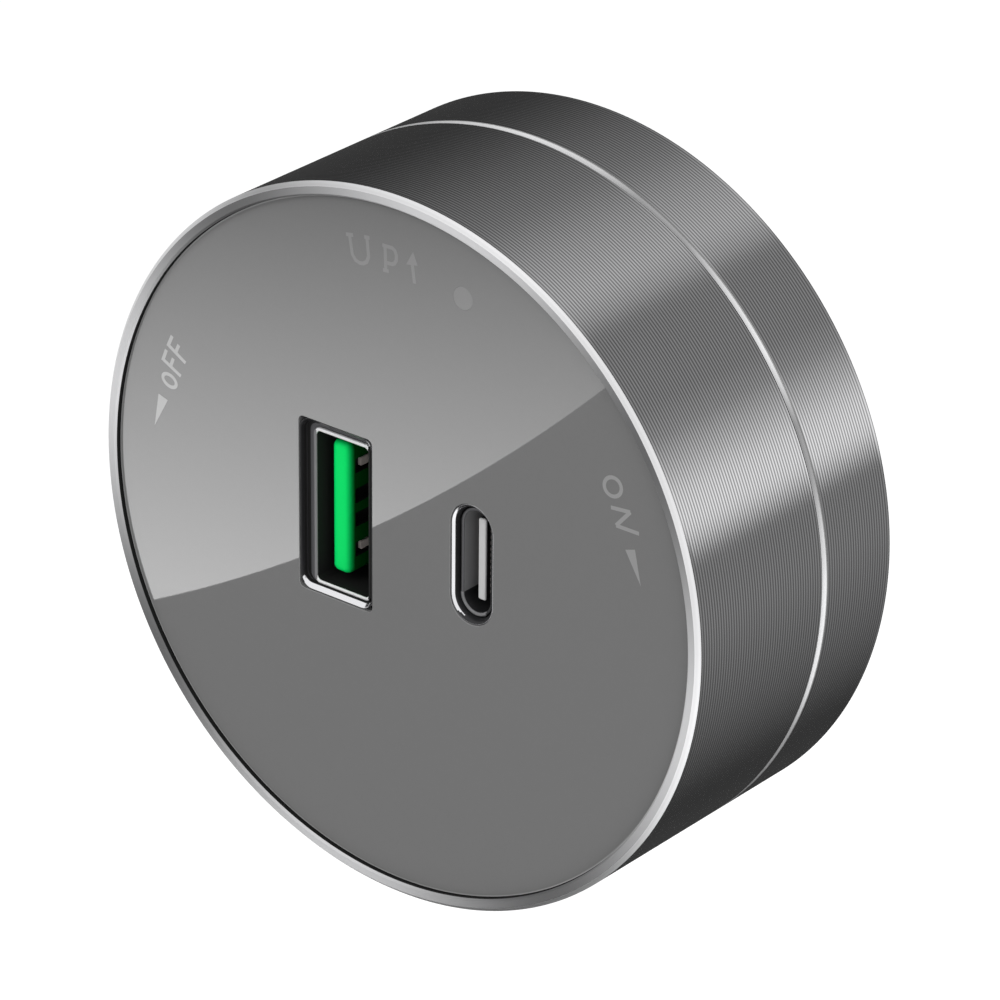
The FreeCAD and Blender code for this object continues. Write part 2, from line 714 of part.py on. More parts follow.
# Turning hub, behind the knob case: flange, journal, ring groove, detent housing
def make_rotor_hub():
    body = new_body("rotor_hub")
    foot_pocket = "dims.foot_radius + dims.foot_fit"
    turned(body, [
        ("0", "places.cover_rear"),
        ("places.hub_flange_radius", "places.cover_rear"),
        ("places.hub_flange_radius", "places.flange_rear"),
        ("places.journal_radius", "places.flange_rear"),
        ("places.journal_radius", "places.clip_front"),
        ("places.clip_bore", "places.clip_front"),
        ("places.clip_bore", "places.clip_rear"),
        ("places.journal_radius", "places.clip_rear"),
        ("places.journal_radius", "places.hub_rear - dims.edge_chamfer"),
        ("places.journal_radius - dims.edge_chamfer", "places.hub_rear"),
        (foot_pocket, "places.hub_rear"),
        (foot_pocket, "places.foot_front"),
        ("0", "places.foot_front"),
    ])
    housing = sketch_across(body, "places.cover_rear")
    rectangle(housing, "0", "-(places.housing_inner + places.housing_outer) / 2", "dims.housing_width",
              "places.housing_outer - places.housing_inner")
    pad(body, housing, "places.housing_rear - places.cover_rear", True)
    bore = attached_sketch(body, "XY_Plane")
    bore.setExpression("AttachmentOffset.Base.z", "-places.housing_outer")
    circle(bore, "0", "places.plunger_height", "dims.plunger_radius + dims.plunger_fit")
    pocket(body, bore, "places.housing_outer - places.spring_foot")
    heads = sketch_across(body, "places.flange_rear")
    circles_at(heads, hub_screw_points(), "places.screw_head_hole")
    pocket(body, heads, "dims.screw_head_height")
    foot_heads = sketch_across(body, "places.cover_rear")
    circles_at(foot_heads, foot_screw_points(), "places.screw_head_hole")
    pocket(body, foot_heads, "dims.screw_head_height", True)
    through = sketch_across(body, "places.cover_rear")
    circles_at(through, hub_screw_points() + foot_screw_points(), "places.screw_hole")
    strip_slots(through)
    pocket(body, through, "places.foot_front - places.cover_rear", True)


def make_retaining_ring():
    body = new_body("retaining_ring")
    ring = sketch_across(body, "places.clip_rear")
    circle(ring, "0", "0", "places.clip_radius")
    circle(ring, "0", "0", "places.clip_bore")
    pad(body, ring, "dims.clip_thickness")
    opening = sketch_across(body, "places.clip_rear")
    rectangle(opening, "0", "places.clip_radius", "dims.clip_opening", "3 * dims.clip_width")
    pocket(body, opening, "dims.clip_thickness")
    ear_x = "(dims.clip_opening / 2 + dims.clip_ear_radius / 2)"
    ear_z = "(places.clip_radius - dims.clip_ear_radius - dims.clip_ear_inset)"
    ears = sketch_across(body, "places.clip_rear")
    holes = sketch_across(body, "places.clip_rear")
    for side in ("", "-"):
        circle(ears, side + ear_x, ear_z, "dims.clip_ear_radius")
        circle(holes, side + ear_x, ear_z, "dims.clip_ear_hole")
    pad(body, ears, "dims.clip_thickness")
    pocket(body, holes, "dims.clip_thickness")


# Crosshead that turns into the track
def make_contact_head():
    body = new_body("contact_head")
    foot = sketch_across(body, "places.foot_front")
    circle(foot, "0", "0", "dims.foot_radius")
    pad(body, foot, "dims.foot_thickness", True)
    neck = sketch_across(body, "places.hub_rear")
    circle(neck, "0", "0", "places.neck_radius")
    pad(body, neck, "places.head_front - places.hub_rear", True)
    arms = sketch_across(body, "places.head_front")
    rounded(arms, "0", "0", "places.head_width", "dims.head_length", "dims.head_corner")
    pad(body, arms, "dims.head_core", True)
    slots = sketch_across(body, "places.foot_front")
    strip_slots(slots)
    pocket(body, slots, "places.head_split - places.foot_front", True)
    channels = sketch_across(body, "places.head_split")
    for side in ("", "-"):
        rectangle(channels, "0", side + "places.strip_middle", "places.strip_slot_width",
                  "places.head_end - places.strip_inner")
    pocket(body, channels, "dims.strip_thickness")
    pilot = sketch_across(body, "places.head_split")
    circle(pilot, "0", "0", "dims.screw_radius")
    pocket(body, pilot, "dims.head_screw_length + dims.head_screw_sink - dims.head_cap + dims.pilot_spare")
    foot_pilots = sketch_across(body, "places.foot_front")
    circles_at(foot_pilots, foot_screw_points(), "dims.screw_radius")
    pilot_end = "places.cover_rear + dims.foot_screw_length + dims.pilot_spare"
    pocket(body, foot_pilots, f"{pilot_end} - places.foot_front", True)


def make_head_cap():
    body = new_body("head_cap")
    arms = sketch_across(body, "places.head_split")
    rounded(arms, "0", "0", "places.head_width", "dims.head_length", "dims.head_corner")
    pad(body, arms, "dims.head_cap", True)
    chamfer_edges(body, "Chamfer", "dims.head_lead", lambda point: at(point.y, "places.head_rear"))
    sink = sketch_across(body, "places.head_rear")
    circle(sink, "0", "0", "places.screw_head_hole")
    pocket(body, sink, "dims.head_screw_sink + dims.screw_head_height")
    through = sketch_across(body, "places.head_rear")
    circle(through, "0", "0", "places.screw_hole")
    pocket(body, through, "dims.head_cap")


def make_track_contact(label, side):
    # brass strip from the circuit board through the neck to a pad on the head's end
    body = new_body(label)
    stem = sketch_across(body, "places.strip_front")
    rectangle(stem, "0", f"{side} * dims.strip_offset", "dims.strip_width", "dims.strip_thickness")
    pad(body, stem, "places.head_split - places.strip_front", True)
    arm = sketch_across(body, "places.head_split")
    arm_end = "(places.head_end + dims.contact_reach / 2)"
    rectangle(arm, "0", f"{side} * (places.strip_inner + {arm_end}) / 2", "dims.strip_width",
              f"{arm_end} - places.strip_inner")
    pad(body, arm, "dims.strip_thickness")
    tip_inner = "(places.head_end + dims.strip_fit)"
    tip_outer = "(places.head_end + dims.contact_reach)"
    tip = sketch_across(body, "places.head_split - dims.strip_thickness / 2 + dims.contact_height / 2")
    rectangle(tip, "0", f"{side} * ({tip_inner} + {tip_outer}) / 2", "dims.contact_width",
              f"{tip_outer} - {tip_inner}")
    pad(body, tip, "dims.contact_height")
    chamfer_edges(body, "Fillet", "dims.contact_round", lambda point: at(abs(point.z), tip_outer))


# Screws, each a revolved blank with a cross recess, repeated about the axis
def make_screws(label, head, length, shank_rearward, circle_radius="0", count=1, angle="0"):
    body = new_body(label)
    sign = "+" if shank_rearward else "-"
    under = f"{head} {sign} dims.screw_head_height"
    tip = f"{head} {sign} {length}"
    blank = turned(body, [
        ("0", head),
        ("dims.screw_head_radius", head),
        ("dims.screw_head_radius", under),
        ("dims.screw_radius", under),
        ("dims.screw_radius", tip),
        ("0", tip),
    ], circle_radius)
    arm, half = "dims.recess_arm", "(dims.recess_width / 2)"
    quarter = [(arm, half), (half, half), (half, arm)]
    corners = []
    for flip_x, flip_z, order in (("", "", 1), ("-", "", -1), ("-", "-", 1), ("", "-", -1)):
        corners += [(f"{circle_radius} + {flip_x or '+'}{x}", f"{flip_z}{z}") for x, z in quarter[::order]]
    recess = sketch_across(body, head)
    polygon(recess, corners)
    drive = pocket(body, recess, "dims.recess_depth", shank_rearward)
    if count > 1:
        polar(body, [blank, drive], count)
    body.Placement = FreeCAD.Placement(FreeCAD.Vector(), FreeCAD.Rotation(FreeCAD.Vector(0, 1, 0), 0))
    body.setExpression("Placement.Rotation.Angle", f"-({angle})")


# Click detent
def make_detent_plunger():
    body = new_body("detent_plunger")
    sketch = sketch_across(body, "places.plunger_height")
    polygon(sketch, [
        ("0", "-places.plunger_foot"),
        ("0", "-places.plunger_tip"),
        ("dims.plunger_radius - dims.plunger_nose", "-places.plunger_tip"),
        ("dims.plunger_radius", "-places.plunger_tip + dims.plunger_nose"),
        ("dims.plunger_radius", "-places.plunger_foot"),
    ])
    made = feature(body, "Revolution", sketch, True)
    made[0].ReferenceAxis = (sketch, ["V_Axis"])
    made[0].Angle = 360
    settle(body, made)


def make_detent_spring():
    body = new_body("detent_spring")
    sketch = sketch_across(body, "places.plunger_height")
    first = "-(places.plunger_foot - dims.spring_wire)"
    circle(sketch, "dims.plunger_radius - dims.spring_wire", first, "dims.spring_wire")
    made = feature(body, "AdditiveHelix", sketch, True)
    helix = made[0]
    helix.ReferenceAxis = (sketch, ["V_Axis"])
    helix.Mode = "height-turns-angle"
    helix.setExpression("Height", "places.plunger_foot - places.spring_foot - 2 * dims.spring_wire")
    helix.setExpression("Turns", "dims.spring_turns")
    settle(body, made)


# USB-A socket
def make_usb_a_shell():
    body = new_body("usb_a_shell")
    x, z = "places.usb_a_x", "dims.port_height"
    outer = ("dims.usb_a_shell_width", "dims.usb_a_shell_height", "dims.usb_a_shell_corner")
    inner = ("places.usb_a_opening_width", "places.usb_a_opening_height",
             "(dims.usb_a_shell_corner - dims.usb_a_wall)")
    mouth_width = "places.usb_a_hole_width - 2 * dims.plate_fit"
    mouth_height = "places.usb_a_hole_height - 2 * dims.plate_fit"
    mouth_corner = "(dims.usb_a_hole_corner - dims.plate_fit)"
    tube = sketch_across(body, "places.usb_a_rim")
    rounded(tube, x, z, *outer)
    rounded(tube, x, z, *inner)
    pad(body, tube, "places.board_front - places.usb_a_rim", True)
    root = sketch_across(body, "places.usb_a_rim")
    rounded(root, x, z, *outer)
    mouth = sketch_across(body, "places.usb_a_mouth")
    rounded(mouth, x, z, mouth_width, mouth_height, mouth_corner)
    flare = feature(body, "AdditiveLoft", root, True)
    flare[0].Sections = [mouth]
    settle(body, flare)
    throat = sketch_across(body, "places.usb_a_rim")
    rounded(throat, x, z, *inner)
    funnel = sketch_across(body, "places.usb_a_mouth")
    rounded(funnel, x, z, f"{mouth_width} - 2 * dims.usb_a_wall", f"{mouth_height} - 2 * dims.usb_a_wall",
            f"({mouth_corner} - dims.usb_a_wall)")
    hollow = feature(body, "SubtractiveLoft", throat, False)
    hollow[0].Sections = [funnel]
    settle(body, hollow)


def usb_a_row(sketch, left, right, spots, height):
    middle, width = f"({left} + {right}) / 2", f"{right} - {left}"
    for spot in spots:
        for side in ("+", "-"):
            rectangle(sketch, middle, f"dims.port_height {side} {spot}", width, height)


def make_usb_a_tongue():
    body = new_body("usb_a_tongue")
    block = sketch_across(body, "places.board_front")
    fit = "2 * dims.plate_fit"
    rectangle(block, "places.usb_a_x", "dims.port_height", f"places.usb_a_opening_width - {fit}",
              "places.usb_a_tongue_height")
    pad(body, block, "dims.usb_a_block")
    tongue = sketch_across(body, "places.usb_a_block_front")
    rectangle(tongue, "(places.usb_a_tongue_left + places.usb_a_tongue_right) / 2", "dims.port_height",
              "dims.usb_a_tongue_thickness", "places.usb_a_tongue_height")
    pad(body, tongue, "places.usb_a_block_front - places.usb_a_tongue_front")
    slots = sketch_across(body, "places.usb_a_slot_front")
    usb_a_row(slots, "places.usb_a_slot_floor", "places.usb_a_tongue_right",
              ("dims.usb_a_outer_contact", "dims.usb_a_inner_contact"),
              "dims.usb_a_contact_width + 2 * dims.usb_a_slot_side")
    pocket(body, slots, "places.usb_a_block_front - places.usb_a_slot_front", True)


def make_usb_a_contacts():
    body = new_body("usb_a_contacts")
    right = "(places.usb_a_slot_floor + dims.usb_a_contact_thickness)"
    for row in ("outer", "inner"):
        front = f"(places.usb_a_slot_front + dims.usb_a_{row}_setback)"
        sketch = sketch_across(body, front)
        usb_a_row(sketch, "places.usb_a_slot_floor", right, (f"dims.usb_a_{row}_contact",),
                  "dims.usb_a_contact_width")
        pad(body, sketch, f"places.usb_a_block_front - {front}", True)


# USB-C socket
def stadium(sketch, width, height):
    rounded(sketch, "places.usb_c_x", "dims.port_height", width, height, f"(({width}) / 2)")


def make_usb_c_trim():
    body = new_body("usb_c_trim")
    fit = "2 * dims.plate_fit"
    ring = sketch_across(body, "places.usb_c_trim_front")
    stadium(ring, f"places.usb_c_hole_width - {fit}", f"places.usb_c_hole_height - {fit}")
    stadium(ring, f"dims.usb_c_shell_width + {fit}", f"dims.usb_c_shell_height + {fit}")
    pad(body, ring, "places.plate_rear - places.usb_c_trim_front", True)


def make_usb_c_shell():
    body = new_body("usb_c_shell")
    tube = sketch_across(body, "places.usb_c_rim")
    stadium(tube, "dims.usb_c_shell_width", "dims.usb_c_shell_height")
    stadium(tube, "places.usb_c_opening_width", "places.usb_c_opening_height")
    pad(body, tube, "places.board_front - places.usb_c_rim", True)


def make_usb_c_tongue():
    body = new_body("usb_c_tongue")
    block = sketch_across(body, "places.board_front")
    fit = "2 * dims.plate_fit"
    stadium(block, f"places.usb_c_opening_width - {fit}", f"places.usb_c_opening_height - {fit}")
    pad(body, block, "dims.usb_c_block")
    tongue = sketch_across(body, "places.usb_c_block_front")
    rectangle(tongue, "places.usb_c_x", "dims.port_height", "dims.usb_c_tongue_thickness",
              "places.usb_c_tongue_height")
    pad(body, tongue, "places.usb_c_block_front - places.usb_c_tongue_front")


def make_usb_c_contacts():
    body = new_body("usb_c_contacts")
    front = "(places.usb_c_tongue_front + dims.usb_c_tongue_setback)"
    sketch = sketch_across(body, front)
    contacts_per_row = 12
    span = f"{contacts_per_row - 1} * dims.usb_c_contact_pitch"
    for side in ("+", "-"):
        middle = f"places.usb_c_x {side} (dims.usb_c_tongue_thickness + dims.usb_c_contact_thickness) / 2"
        rectangle(sketch, middle, f"dims.port_height - {span} / 2",
                  "dims.usb_c_contact_thickness", "dims.usb_c_contact_width")
    first = pad(body, sketch, "dims.usb_c_contact_length", True)
    row = body.newObject("PartDesign::LinearPattern", "usb_c_contacts_row")
    row.Originals = [first]
    row.Direction = (origin_part(body, "Z_Axis"), [""])
    row.setExpression("Length", span)
    row.Occurrences = contacts_per_row
    body.Tip = row
    doc.recompute()


# Indicator: a light pipe through the face, over a lamp on the board
def make_led_light_pipe():
    body = new_body("led_light_pipe")
    turned(body, [
        ("0", "places.plate_front"),
        ("dims.dot_radius", "places.plate_front"),
        ("dims.dot_radius", "places.bay_front"),
        ("dims.pipe_flange_radius", "places.bay_front"),
        ("dims.pipe_flange_radius", "places.bay_front + dims.pipe_flange"),
        ("dims.dot_radius", "places.bay_front + dims.pipe_flange"),
        ("dims.dot_radius", "places.pipe_rear"),
        ("0", "places.pipe_rear"),
    ], "places.dot_x", "places.dot_z")


# Circuit board and what stands on its front face
def make_main_board():
    body = new_body("main_board")
    disc = sketch_across(body, "places.board_rear")
    circle(disc, "0", "0", "places.board_radius")
    circles_at(disc, post_points(), "dims.spigot_radius + dims.spigot_fit")
    strip_slots(disc)
    pad(body, disc, "dims.board_thickness")


def make_package(label, x, z, width, length, tall):
    body = new_body(label)
    case = sketch_across(body, "places.board_front")
    rectangle(case, x, z, width, length)
    pad(body, case, tall)
    return body


def make_chip(label, leads):
    # moulded package; its leads are flat strips that lie on the board
    x, z, width = f"places.{label}_x", f"places.{label}_z", f"dims.{label}_width"
    body = make_package(label, x, z, width, f"dims.{label}_length", f"dims.{label}_tall")
    rows = sketch_across(body, "places.board_front")
    reach = f"dims.{label}_length + 2 * dims.lead_reach"
    for index in range(leads):
        step = f"({2 * index + 1} - {leads}) / (2 * {leads})"
        rectangle(rows, f"{x} + {width} * {step}", z, "dims.lead_width", reach)
    pad(body, rows, "dims.lead_thickness")


def make_lying_can(label, along_x):
    # rolled can with a crimped neck, lying on the board
    body = new_body(label)
    radius, half = f"dims.{label}_radius", f"dims.{label}_length / 2"
    turned(body, [
        ("0", f"-{half}"),
        (radius, f"-{half}"),
        (radius, f"{half} - dims.crimp_start - dims.crimp_width"),
        (f"{radius} - dims.crimp_depth", f"{half} - dims.crimp_start - dims.crimp_width / 2"),
        (radius, f"{half} - dims.crimp_start"),
        (radius, half),
        ("0", half),
    ])
    axis, quarter = (FreeCAD.Vector(0, 0, 1), -90) if along_x else (FreeCAD.Vector(1, 0, 0), 90)
    body.Placement = FreeCAD.Placement(FreeCAD.Vector(), FreeCAD.Rotation(axis, quarter))
    move_to(body, f"places.{label}_x", f"places.board_front - {radius}", f"places.{label}_z")


def make_output_capacitors():
    body = new_body("output_capacitors")
    feet = sketch_across(body, "places.board_front")
    cans = sketch_across(body, "places.board_front")
    for name in ("output_capacitor", "second_capacitor"):
        x, z = f"places.{name}_x", f"places.{name}_z"
        rectangle(feet, x, z, "dims.output_capacitor_foot", "dims.output_capacitor_foot")
        circle(cans, x, z, "dims.output_capacitor_radius")
    pad(body, feet, "dims.output_capacitor_foot_tall")
    pad(body, cans, "dims.output_capacitor_tall")


def make_line_choke():
    # ferrite drum between two flanges, standing on the board
    body = new_body("line_choke")
    rear, front = "places.board_front", "places.board_front - dims.line_choke_tall"
    flange, radius, waist = "dims.line_choke_flange", "dims.line_choke_radius", "dims.line_choke_waist"
    turned(body, [
        ("0", rear),
        (radius, rear),
        (radius, f"{rear} - {flange}"),
        (waist, f"{rear} - {flange}"),
        (waist, f"{front} + {flange}"),
        (radius, f"{front} + {flange}"),
        (radius, front),
        ("0", front),
    ], "places.line_choke_x", "places.line_choke_z")


def move_to(item, x, y, z):
    for axis, expression in zip("xyz", (x, y, z)):
        item.setExpression(f"Placement.Base.{axis}", expression)


def transformer_block(name, width, tall, length):
    # block on the transformer's middle, its height centred on the winding's
    item = doc.addObject("Part::Box", name)
    for side, expression in zip(("Length", "Width", "Height"), (width, tall, length)):
        item.setExpression(side, expression)
    move_to(item, f"places.transformer_x - ({width}) / 2",
            f"places.board_front - dims.transformer_winding_tall / 2 - ({tall}) / 2",
            f"places.transformer_z - ({length}) / 2")
    return item


def boolean(kind, label, base, tool):
    item = doc.addObject("Part::" + kind, label)
    item.Base, item.Tool = base, tool
    item.Label = label
    return item


def make_transformer():
    # two E cores about a wound bobbin, its axis along Z
    size = "dims.transformer_"
    leg, window_length = size + "leg", size + "window_length"
    core_tall = size + "core_tall"
    core_frame = transformer_block("core_frame", size + "core_width", core_tall, size + "core_length")
    core_window = transformer_block("core_window", size + "window_width", core_tall, window_length)
    core_leg = transformer_block("core_leg", leg, leg, window_length)
    yoke = boolean("Cut", "core_yoke", core_frame, core_window)
    core = boolean("Fuse", "transformer_core", yoke, core_leg)
    winding = transformer_block("winding", size + "winding_width", size + "winding_tall",
                                size + "winding_length")
    bore = f"{leg} + 2 * {size}slack"
    tunnel = transformer_block("winding_bore", bore, bore, window_length)
    pieces.extend([core, boolean("Cut", "transformer_bobbin", winding, tunnel)])


make_front_ring()
make_rear_ring()
make_base_plate()
make_knob_cup()
make_face_plate()
make_plate_adhesive()
make_rear_cover()
make_rotor_hub()
make_retaining_ring()
make_contact_head()
make_head_cap()
make_track_contact("live_contact", "1")
make_track_contact("neutral_contact", "-1")
make_screws("cover_screws", "places.cover_rear", "dims.cover_screw_length", False,
            "places.post_circle", 3, "dims.post_angle")
make_screws("hub_screws", "places.flange_rear", "dims.hub_screw_length", False,
            "places.hub_screw_circle", 4, "dims.hub_screw_angle")
make_screws("foot_screws", "places.cover_rear", "dims.foot_screw_length", True, "dims.foot_screw_circle", 2)
make_screws("head_screw", "(places.head_rear - dims.head_screw_sink)", "dims.head_screw_length", False)
make_detent_plunger()
make_detent_spring()
make_usb_a_shell()
make_usb_a_tongue()
make_usb_a_contacts()
make_usb_c_trim()
make_usb_c_shell()
make_usb_c_tongue()
make_usb_c_contacts()
make_led_light_pipe()
make_main_board()
make_package("status_led", "places.dot_x", "places.dot_z", "dims.led_width", "dims.led_height",
             "dims.led_tall")
make_chip("bridge_rectifier", 2)
make_chip("controller_chip", 4)
make_lying_can("input_capacitor", False)
make_lying_can("filter_capacitor", True)
make_lying_can("fuse_resistor", True)
make_lying_can("safety_capacitor", False)
make_output_capacitors()
make_line_choke()
make_transformer()

# Test every object and piece, then write one file for each piece
doc.recompute()
for item in doc.Objects:
    if "Invalid" in item.State or "Error" in item.State:
        raise ValueError(f"{item.Name} is {item.State}")
os.makedirs("parts", exist_ok=True)
for piece in pieces:
    if piece.Shape.isNull() or not piece.Shape.isValid():
        raise ValueError(f"{piece.Label} has no valid shape")
    piece.Shape.exportStep(os.path.join("parts", piece.Label + ".step"))
print(len(pieces), "pieces written")
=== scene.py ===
import math

import bmesh
import bpy
from mathutils import Matrix, Vector


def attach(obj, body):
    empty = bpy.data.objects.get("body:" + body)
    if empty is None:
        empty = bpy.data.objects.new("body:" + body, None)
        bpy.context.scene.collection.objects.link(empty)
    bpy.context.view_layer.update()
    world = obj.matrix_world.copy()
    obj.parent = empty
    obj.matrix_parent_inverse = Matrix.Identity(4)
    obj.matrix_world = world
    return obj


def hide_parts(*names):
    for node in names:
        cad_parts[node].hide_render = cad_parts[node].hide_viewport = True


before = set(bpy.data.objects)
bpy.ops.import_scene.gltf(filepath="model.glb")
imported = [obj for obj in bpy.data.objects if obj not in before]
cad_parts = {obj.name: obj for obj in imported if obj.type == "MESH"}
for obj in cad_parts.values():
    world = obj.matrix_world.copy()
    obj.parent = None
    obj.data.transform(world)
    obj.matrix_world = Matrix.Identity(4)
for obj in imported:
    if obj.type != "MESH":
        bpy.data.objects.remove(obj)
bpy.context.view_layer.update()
mm = 0.001
scene = bpy.context.scene
print("frame loaded,", len(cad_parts), "nodes")


# shader helpers
class Link:
    def __init__(self, shader, socket):
        self.shader = shader
        self.socket = socket

    def math(self, operation, other=None):
        values = {0: self} if other is None else {0: self, 1: other}
        kind = "Math" if self.socket.type == "VALUE" else "VectorMath"
        return self.shader.node(kind, {"operation": operation}, values)

    def __add__(self, other):
        return self.math("ADD", other)

    __radd__ = __add__

    def __sub__(self, other):
        return self.math("SUBTRACT", other)

    def __mul__(self, other):
        return self.math("MULTIPLY", other)

    def __lt__(self, other):
        return self.math("LESS_THAN", other)

    def __gt__(self, other):
        return self.math("GREATER_THAN", other)


class Shader:
    def __init__(self, name, world=False):
        self.owner = bpy.data.worlds.new(name) if world else bpy.data.materials.new(name)
        self.owner.use_nodes = True
        self.tree = self.owner.node_tree
        self.tree.nodes.clear()
        self.out = self.tree.nodes.new("ShaderNodeOutputWorld" if world else "ShaderNodeOutputMaterial")

    def node(self, kind, settings=None, values=None, output=0):
        made = self.tree.nodes.new("ShaderNode" + kind)
        for key, value in (settings or {}).items():
            if key == "stops":
                ramp = made.color_ramp
                while len(ramp.elements) < len(value):
                    ramp.elements.new(1.0)
                for element, (at, tone) in zip(ramp.elements, value):
                    element.position = at
                    element.color = (*tone, 1.0) if hasattr(tone, "__len__") else (tone, tone, tone, 1.0)
            else:
                setattr(made, key, value)
        for key, value in (values or {}).items():
            socket = made.inputs[key]
            if isinstance(value, Link):
                self.tree.links.new(value.socket, socket)
            elif socket.type == "RGBA":
                socket.default_value = (*value, 1.0)
            else:
                socket.default_value = value
        return Link(self, made.outputs[output])

    def place(self):
        return self.node("TexCoord", output="Object")

    def noise(self, scale, detail=2.0, where=None, output=0):
        return self.node("TexNoise", {"noise_dimensions": "3D"},
                         {"Vector": where or self.place(), "Scale": scale, "Detail": detail}, output)

    def mix(self, low, high, factor):
        return self.node("Mix", {"data_type": "RGBA"}, {0: factor, 6: low, 7: high}, 2)

    def bump(self, height, depth, strength=1.0):
        return self.node("Bump", None, {"Height": height, "Distance": depth, "Strength": strength})

    def principled(self, **values):
        return self.node("BsdfPrincipled", None, {key.replace("_", " "): value for key, value in values.items()})

    def finish(self, surface):
        self.tree.links.new(surface.socket, self.out.inputs["Surface"])
        return self.owner


def shade(colour, factor):
    return tuple(min(1.0, channel * factor) for channel in colour)


# one moulded, plated or painted finish: grain, slow mottling and a rougher touch here and there
plain = {"grain": 0.2 * mm, "grainDetail": 3.0, "grainShare": 0.4, "depth": 0.004 * mm,
         "cloud": 6 * mm, "cloudDetail": 2.0, "cloudShare": 0.6, "spread": 0.08, "roughSpread": 0.12,
         "metal": 0.0, "more": {}}


def plainFinish(name, look):
    look = {**plain, **look}
    shader = Shader(name)
    grain = shader.noise(1 / look["grain"], look["grainDetail"])
    cloud = shader.noise(1 / look["cloud"], look["cloudDetail"])
    low, high = (shade(look["colour"], 1 + side * look["spread"]) for side in (-1, 1))
    tone = shader.mix(low, high, cloud * look["cloudShare"] + grain * look["grainShare"])
    rough = look["rough"] + (cloud * 0.5 + grain * 0.5 - 0.5) * look["roughSpread"]
    return shader.finish(shader.principled(**{
        "Base Color": tone, "Roughness": rough, "Metallic": look["metal"],
        "Normal": shader.bump(grain, look["depth"]), **look["more"]}))


finishLooks = {
    "black_plastic": {"colour": (0.017, 0.017, 0.018), "rough": 0.42, "grain": 0.18 * mm, "depth": 0.008 * mm},
    "adhesive_film": {"colour": (0.62, 0.6, 0.5), "rough": 0.5},
    # the socket finishes below are lit and shaded copies of one plated steel, which paint light and shade onto the
    # sockets; bore_black is painted shade wherever it is used
    "socket_steel": {"colour": (0.8, 0.8, 0.82), "rough": 0.14, "metal": 1.0, "spread": 0.03,
                     "grain": 0.5 * mm, "depth": 0.001 * mm, "roughSpread": 0.06},
    "socket_rim": {"colour": (0.82, 0.82, 0.83), "rough": 0.42, "metal": 0.5, "depth": 0.001 * mm},
    "socket_edge": {"colour": (0.19, 0.19, 0.195), "rough": 0.42, "depth": 0.001 * mm},
    "socket_shade": {"colour": (0.11, 0.11, 0.115), "rough": 0.38, "metal": 0.9, "depth": 0.001 * mm},
    "socket_dark": {"colour": (0.03, 0.03, 0.032), "rough": 0.35, "metal": 0.6, "depth": 0.001 * mm},
    "bore_black": {"colour": (0.008, 0.008, 0.008), "rough": 0.6, "depth": 0.002 * mm,
                   "more": {"Specular IOR Level": 0.2}},
    "grey_plastic": {"colour": (0.62, 0.62, 0.62), "rough": 0.4, "spread": 0.03, "depth": 0.001 * mm},
    "contact_plating": {"colour": (0.95, 0.84, 0.79), "rough": 0.4, "depth": 0.001 * mm},
    "contact_brass": {"colour": (0.78, 0.57, 0.24), "rough": 0.26, "metal": 1.0, "spread": 0.12,
                      "cloud": 2.5 * mm, "depth": 0.002 * mm, "roughSpread": 0.2},
    "spring_steel": {"colour": (0.55, 0.55, 0.56), "rough": 0.25, "metal": 1.0, "depth": 0.001 * mm},
    "screw_steel": {"colour": (0.5, 0.5, 0.49), "rough": 0.3, "metal": 1.0, "depth": 0.002 * mm},
    "milky_plastic": {"colour": (0.255, 0.255, 0.255), "rough": 0.03, "spread": 0.03, "roughSpread": 0.01,
                      "depth": 0.00002 * mm, "more": {"IOR": 1.8}},
    "package_black": {"colour": (0.02, 0.02, 0.021), "rough": 0.6, "spread": 0.25, "depth": 0.01 * mm},
    "capacitor_sleeve": {"colour": (0.03, 0.035, 0.06), "rough": 0.35},
    "capacitor_can": {"colour": (0.72, 0.72, 0.73), "rough": 0.3, "metal": 1.0},
    "resistor_coat": {"colour": (0.25, 0.42, 0.5), "rough": 0.4},
    "capacitor_blue": {"colour": (0.02, 0.12, 0.42), "rough": 0.35},
    "ferrite": {"colour": (0.045, 0.045, 0.05), "rough": 0.65, "spread": 0.25, "grain": 0.12 * mm},
    "winding_tape": {"colour": (0.65, 0.45, 0.03), "rough": 0.35},
}
finishes = {slot: plainFinish(slot, look) for slot, look in finishLooks.items()}


# turned aluminium, dyed grey: the tool marks are in the mesh, and the colour paints shade along each mark's floor
# and a highlight on its crest
turned = {"colour": (0.36, 0.36, 0.365), "line": 0.38, "pitch": 0.298 * mm, "depth": 0.012 * mm, "metal": 1.0,
          "rough": 0.15, "across": 0.85, "acrossTurn": 0.25, "streaks": 9000.0, "streakDetail": 3.0,
          "streakShare": 0.2, "streakRough": 0.06, "scratch": 0.0003 * mm}


